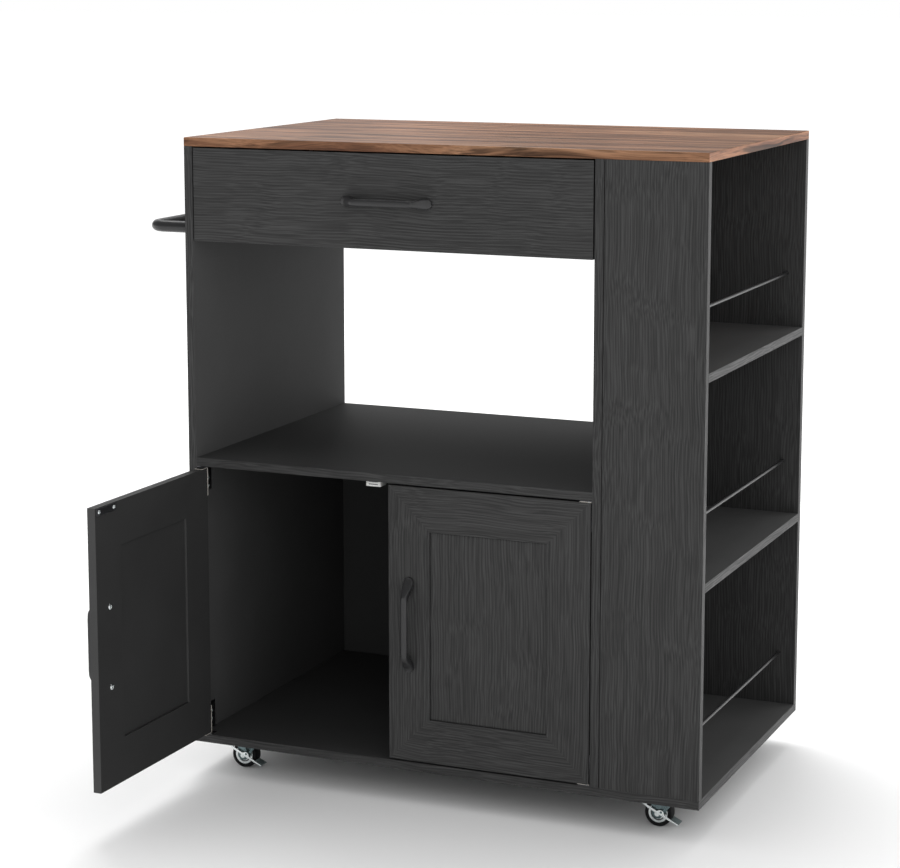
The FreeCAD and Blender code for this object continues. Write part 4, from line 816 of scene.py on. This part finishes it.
def pedal_ribs(shape, axle):
    """Pressed ribs across the pedal, which is the broad face on top that is farthest out."""
    broad = [face for face in shape.faces
             if face.normal.z > 0.5 and face.calc_area() > PEDAL_AREA
             and face.calc_center_median().x > axle.x]
    pedal = max(broad, key=lambda face: face.calc_center_median().x)
    centre, normal = pedal.calc_center_median(), pedal.normal.copy()
    slope = BACK.cross(normal)
    reach = [(vertex.co - centre).dot(slope) for vertex in pedal.verts]
    sides = [vertex.co.y for vertex in pedal.verts]
    pitch = (max(reach) - min(reach)) / RIBS
    for step in range(RIBS):
        middle = centre + slope * (min(reach) + pitch * (step + 0.5))
        outline = [middle + slope * across + normal * up for across, up in (
            (-RIB_HALF, -RIB_ROOT), (-RIB_TOP, RIB_HEIGHT), (RIB_TOP, RIB_HEIGHT),
            (RIB_HALF, -RIB_ROOT))]
        prism(shape, [(point.x, point.z) for point in outline], min(sides) + RIB_INSET,
              max(sides) - RIB_INSET, (1,), 0.2 * MM)


def brake(corner):
    """The brake lever: bright arms outside the fork, with a duller strap and pedal."""
    node = "brake_" + corner
    shape = cleaned(node)
    eased(shape, 0.25 * MM, SHORT_EDGE)
    bmesh.ops.recalc_face_normals(shape, faces=shape.faces)
    axle_low, axle_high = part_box("axle_" + corner)
    pedal_ribs(shape, (axle_low + axle_high) / 2)
    low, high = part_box(node)
    for face in shape.faces:
        across = abs(face.calc_center_median().y - (low.y + high.y) / 2)
        face.material_index = 0 if across > ARM_START * (high.y - low.y) else 1
    settle(node + "_lever", node, shape, ["bright_zinc", "pedal"], 35)


for corner in CASTERS:
    tyre_low, tyre_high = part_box("tyre_" + corner)
    hub_low, hub_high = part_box("hub_" + corner)
    wheel_radius = (tyre_high.z - tyre_low.z) / 2
    tyre_half = (tyre_high.y - tyre_low.y) / 2
    hub_radius = (hub_high.z - hub_low.z) / 2
    turned_piece("tyre_" + corner, tyre_profile(wheel_radius, tyre_half, hub_radius + TYRE_GAP),
                 ["tyre"])
    # The hub's groove is drawn in dark steel: painted shade in the recess.
    turned_piece("hub_" + corner, hub_profile(hub_radius, tyre_half - RIM_SETBACK),
                 ["bright_zinc", "dark_steel"])
    refined("axle_" + corner, "bright_zinc", width=0)
    # The forks take the darkened teal zinc, which is partly a painted reflection.
    refined("fork_" + corner, "blue_zinc", width=0.35 * MM, shortest=1.6 * MM, smooth=40)
for corner in BRAKED:
    brake(corner)


# ---------------------------------------------------------------------------------------------
# Fasteners: screws with a cross recess and a threaded shank, and fluted dowels
# ---------------------------------------------------------------------------------------------

# Shares of a head's radius or height, of a shank's radius and of a dowel's radius.
HEAD_SHARE = 0.98
CROSS_ARM = 0.13
CROSS_REACH = 0.60
CROSS_DEPTH = 0.85
RIM_LEVEL = 0.25
THREAD_ROOT = 0.78
NECK = 0.92
HEAD_RINGS = (0.94, 0.84, 0.72, 0.62, 0.59, 0.48, 0.34, 0.20, 0.06)
SCREW_SEGMENTS = 32
DOWEL_SEGMENTS = 48
DOWEL_FLUTES = 12
DOWEL_END = 0.82
SPIN = 37


def measure(points):
    """A fastener's axis out of its head, the head's seat, and its radii and lengths."""
    low, high = extent(points)
    run = max(range(3), key=lambda axis: high[axis] - low[axis])
    axis = Vector([1.0 if index == run else 0.0 for index in range(3)])
    middle = (low + high) / 2
    reach = {}
    for point in points:
        offset = point - middle
        along = round(offset[run], 6)
        across = (offset - axis * offset[run]).length
        reach[along] = max(across, reach.get(along, 0.0))
    wide = max(reach.values())
    head = [along for along, across in reach.items() if across > wide * HEAD_SHARE]
    ends = (min(reach), max(reach))
    if sum(head) < 0:
        axis, head = -axis, [-along for along in head]
        ends = (-ends[1], -ends[0])
    level = min(head)
    shank = [across for across in reach.values() if across < wide * HEAD_SHARE]
    return {"axis": axis, "seat": middle + axis * level, "head_radius": wide,
            "head": ends[1] - level, "length": level - ends[0],
            "shank_radius": max(shank) if shank else wide}


def revolve(shape, place, rings, segments):
    """Closed skin over rings of (height, radius at an angle) pairs round a place's Z axis."""
    made = []
    for height, radius in rings:
        ring = []
        for step in range(segments):
            angle = 2 * math.pi * step / segments
            far = radius(angle) if callable(radius) else radius
            level = height(angle) if callable(height) else height
            ring.append(shape.verts.new(place @ Vector((far * math.cos(angle),
                                                        far * math.sin(angle), level))))
        made.append(ring)
    faces = [shape.faces.new(list(reversed(made[0]))), shape.faces.new(made[-1])]
    for here, there in zip(made, made[1:]):
        for step in range(segments):
            after = (step + 1) % segments
            faces.append(shape.faces.new((here[step], here[after], there[after], there[step])))
    return faces


def screw(shape, place, size):
    """A domed head with a cross recess over a grooved shank with a point."""
    wide, head = size["head_radius"], size["head"]
    shank, length = size["shank_radius"], size["length"]
    pitch = max(0.9 * MM, shank * 0.6)
    arm, deep = wide * CROSS_ARM, min(head, 1.2 * MM) * CROSS_DEPTH

    def top(distance):
        share = distance / wide
        crown = head * (RIM_LEVEL + (1 - RIM_LEVEL) * math.sqrt(max(0.0, 1 - share * share)))

        def level(angle):
            across = min(abs(math.cos(angle)), abs(math.sin(angle))) * distance
            sunk = across < arm and distance < wide * CROSS_REACH
            return crown - (deep * (1 - distance / wide) if sunk else 0.0)
        return level

    rings = [(-length, shank * 0.10), (-length + 1.2 * shank, shank * THREAD_ROOT)]
    level = -length + 1.2 * shank + pitch * 0.5
    while level < -1.2 * pitch:
        rings += [(level, shank), (level + pitch * 0.5, shank * THREAD_ROOT)]
        level += pitch
    rings += [(-0.5 * pitch, shank * NECK), (0, shank * NECK), (0, wide),
              (head * RIM_LEVEL, wide)]
    rings += [(top(wide * share), wide * share) for share in HEAD_RINGS]
    return revolve(shape, place, rings, SCREW_SEGMENTS)


def dowel(shape, place, size):
    """A grooved wooden pin with rounded ends."""
    wide, top, length = size["head_radius"], size["head"], size["length"]

    def fluted(angle):
        return wide * (1 - 0.05 * (0.5 + 0.5 * math.cos(DOWEL_FLUTES * angle)))

    rings = [(-length, wide * DOWEL_END), (-length + 0.8 * MM, fluted),
             (top - 0.8 * MM, fluted), (top, wide * DOWEL_END)]
    return revolve(shape, place, rings, DOWEL_SEGMENTS)


def fasteners(node, look):
    """Every screw and dowel of a CAD node, drawn in full where its plain solid is."""
    turn = closed_left_door() if BODY_OF[node] == "left_door" else Matrix.Identity(4)
    shape = bmesh.new()
    for index, points in enumerate(islands(node, turn)):
        size = measure(points)
        spin = Matrix.Rotation(math.radians(SPIN * index), 4, "Z")
        aim = size["axis"].to_track_quat("Z", "Y").to_matrix().to_4x4()
        place = turn.inverted() @ Matrix.Translation(size["seat"]) @ aim @ spin
        plain = size["shank_radius"] == size["head_radius"]
        for face in (dowel if plain else screw)(shape, place, size):
            face.material_index = 1 if plain else 0
    settle(node + "_set", node, shape, [look, "beech"], 40)


for node in ("assembly_screws", "cabinet_screws", "drawer_fasteners", "left_door_screws",
             "right_door_screws", "caster_screws"):
    fasteners(node, "bright_zinc")
fasteners("assembly_dowels", "beech")


# ---------------------------------------------------------------------------------------------
# Stage: a pale floor that runs out into a white surround, and large soft boxes
# ---------------------------------------------------------------------------------------------

SURROUND_LIGHT = 0.83
SURROUND_GLOSS = 0.22
FLOOR_HALF = 60.0
HEART = (0.45, 0.2, 0.45)


def white_world():
    """A white surround: full white behind the object, dimmer as light and in reflections."""
    world = bpy.data.worlds.new("studio")
    bpy.context.scene.world = world
    world.use_nodes = True
    tree = world.node_tree
    background = tree.nodes["Background"]
    background.inputs["Color"].default_value = (1.0, 1.0, 1.0, 1)
    rays = add(tree, "LightPath")
    plain = maths(tree, "SUBTRACT", SURROUND_LIGHT, maths(
        tree, "MULTIPLY", rays.outputs["Is Glossy Ray"], SURROUND_LIGHT - SURROUND_GLOSS))
    seen = maths(tree, "MAXIMUM", plain, rays.outputs["Is Camera Ray"])
    tree.links.new(seen, background.inputs["Strength"])


def pale_floor():
    """A floor that glows faintly far from the object, so that no horizon shows."""
    mesh = bpy.data.meshes.new("floor")
    mesh.from_pydata([(x * FLOOR_HALF, y * FLOOR_HALF, 0)
                      for x, y in ((-1, -1), (1, -1), (1, 1), (-1, 1))], [], [(0, 1, 2, 3)])
    floor = bpy.data.objects.new("floor", mesh)
    bpy.context.scene.collection.objects.link(floor)
    made, tree, shader = new_material("pale_floor", Roughness=0.9, Specular_IOR_Level=0.0)
    shader.inputs["Base Color"].default_value = (0.93, 0.93, 0.93, 1)
    shader.inputs["Emission Color"].default_value = (1, 1, 1, 1)
    place = add(tree, "TexCoord").outputs["Object"]
    distance = add(tree, "VectorMath", {0: place}, operation="LENGTH").outputs["Value"]
    to_shader(tree, shader, Emission_Strength=ranged(tree, distance, 0.0, 0.35, 1.2, 4.0,
                                                     "SMOOTHSTEP"))
    mesh.materials.append(made)


def soft_box(name, place, size, power):
    """A rectangular area light that points to the object and isn't seen itself."""
    light = bpy.data.lights.new(name, "AREA")
    light.shape = "RECTANGLE"
    light.size, light.size_y = size
    light.energy = power
    made = bpy.data.objects.new(name, light)
    made.location = place
    made.rotation_euler = (Vector(HEART) - Vector(place)).to_track_quat("-Z", "Y").to_euler()
    made.visible_camera = False
    bpy.context.scene.collection.objects.link(made)


white_world()
pale_floor()
soft_box("rear_top_box", (-0.45, 1.2, 3.2), (2.4, 2.4), 78.0)
soft_box("front_box", (1.6, -3.6, 2.0), (1.8, 1.8), 13.0)
soft_box("right_box", (3.2, -1.2, 1.8), (1.6, 2.2), 11.0)
soft_box("rear_left_card", (-3.0, 3.6, 1.6), (3.0, 2.4), 18.0)
soft_box("rear_right_card", (2.8, 3.4, 1.5), (2.0, 2.0), 30.0)
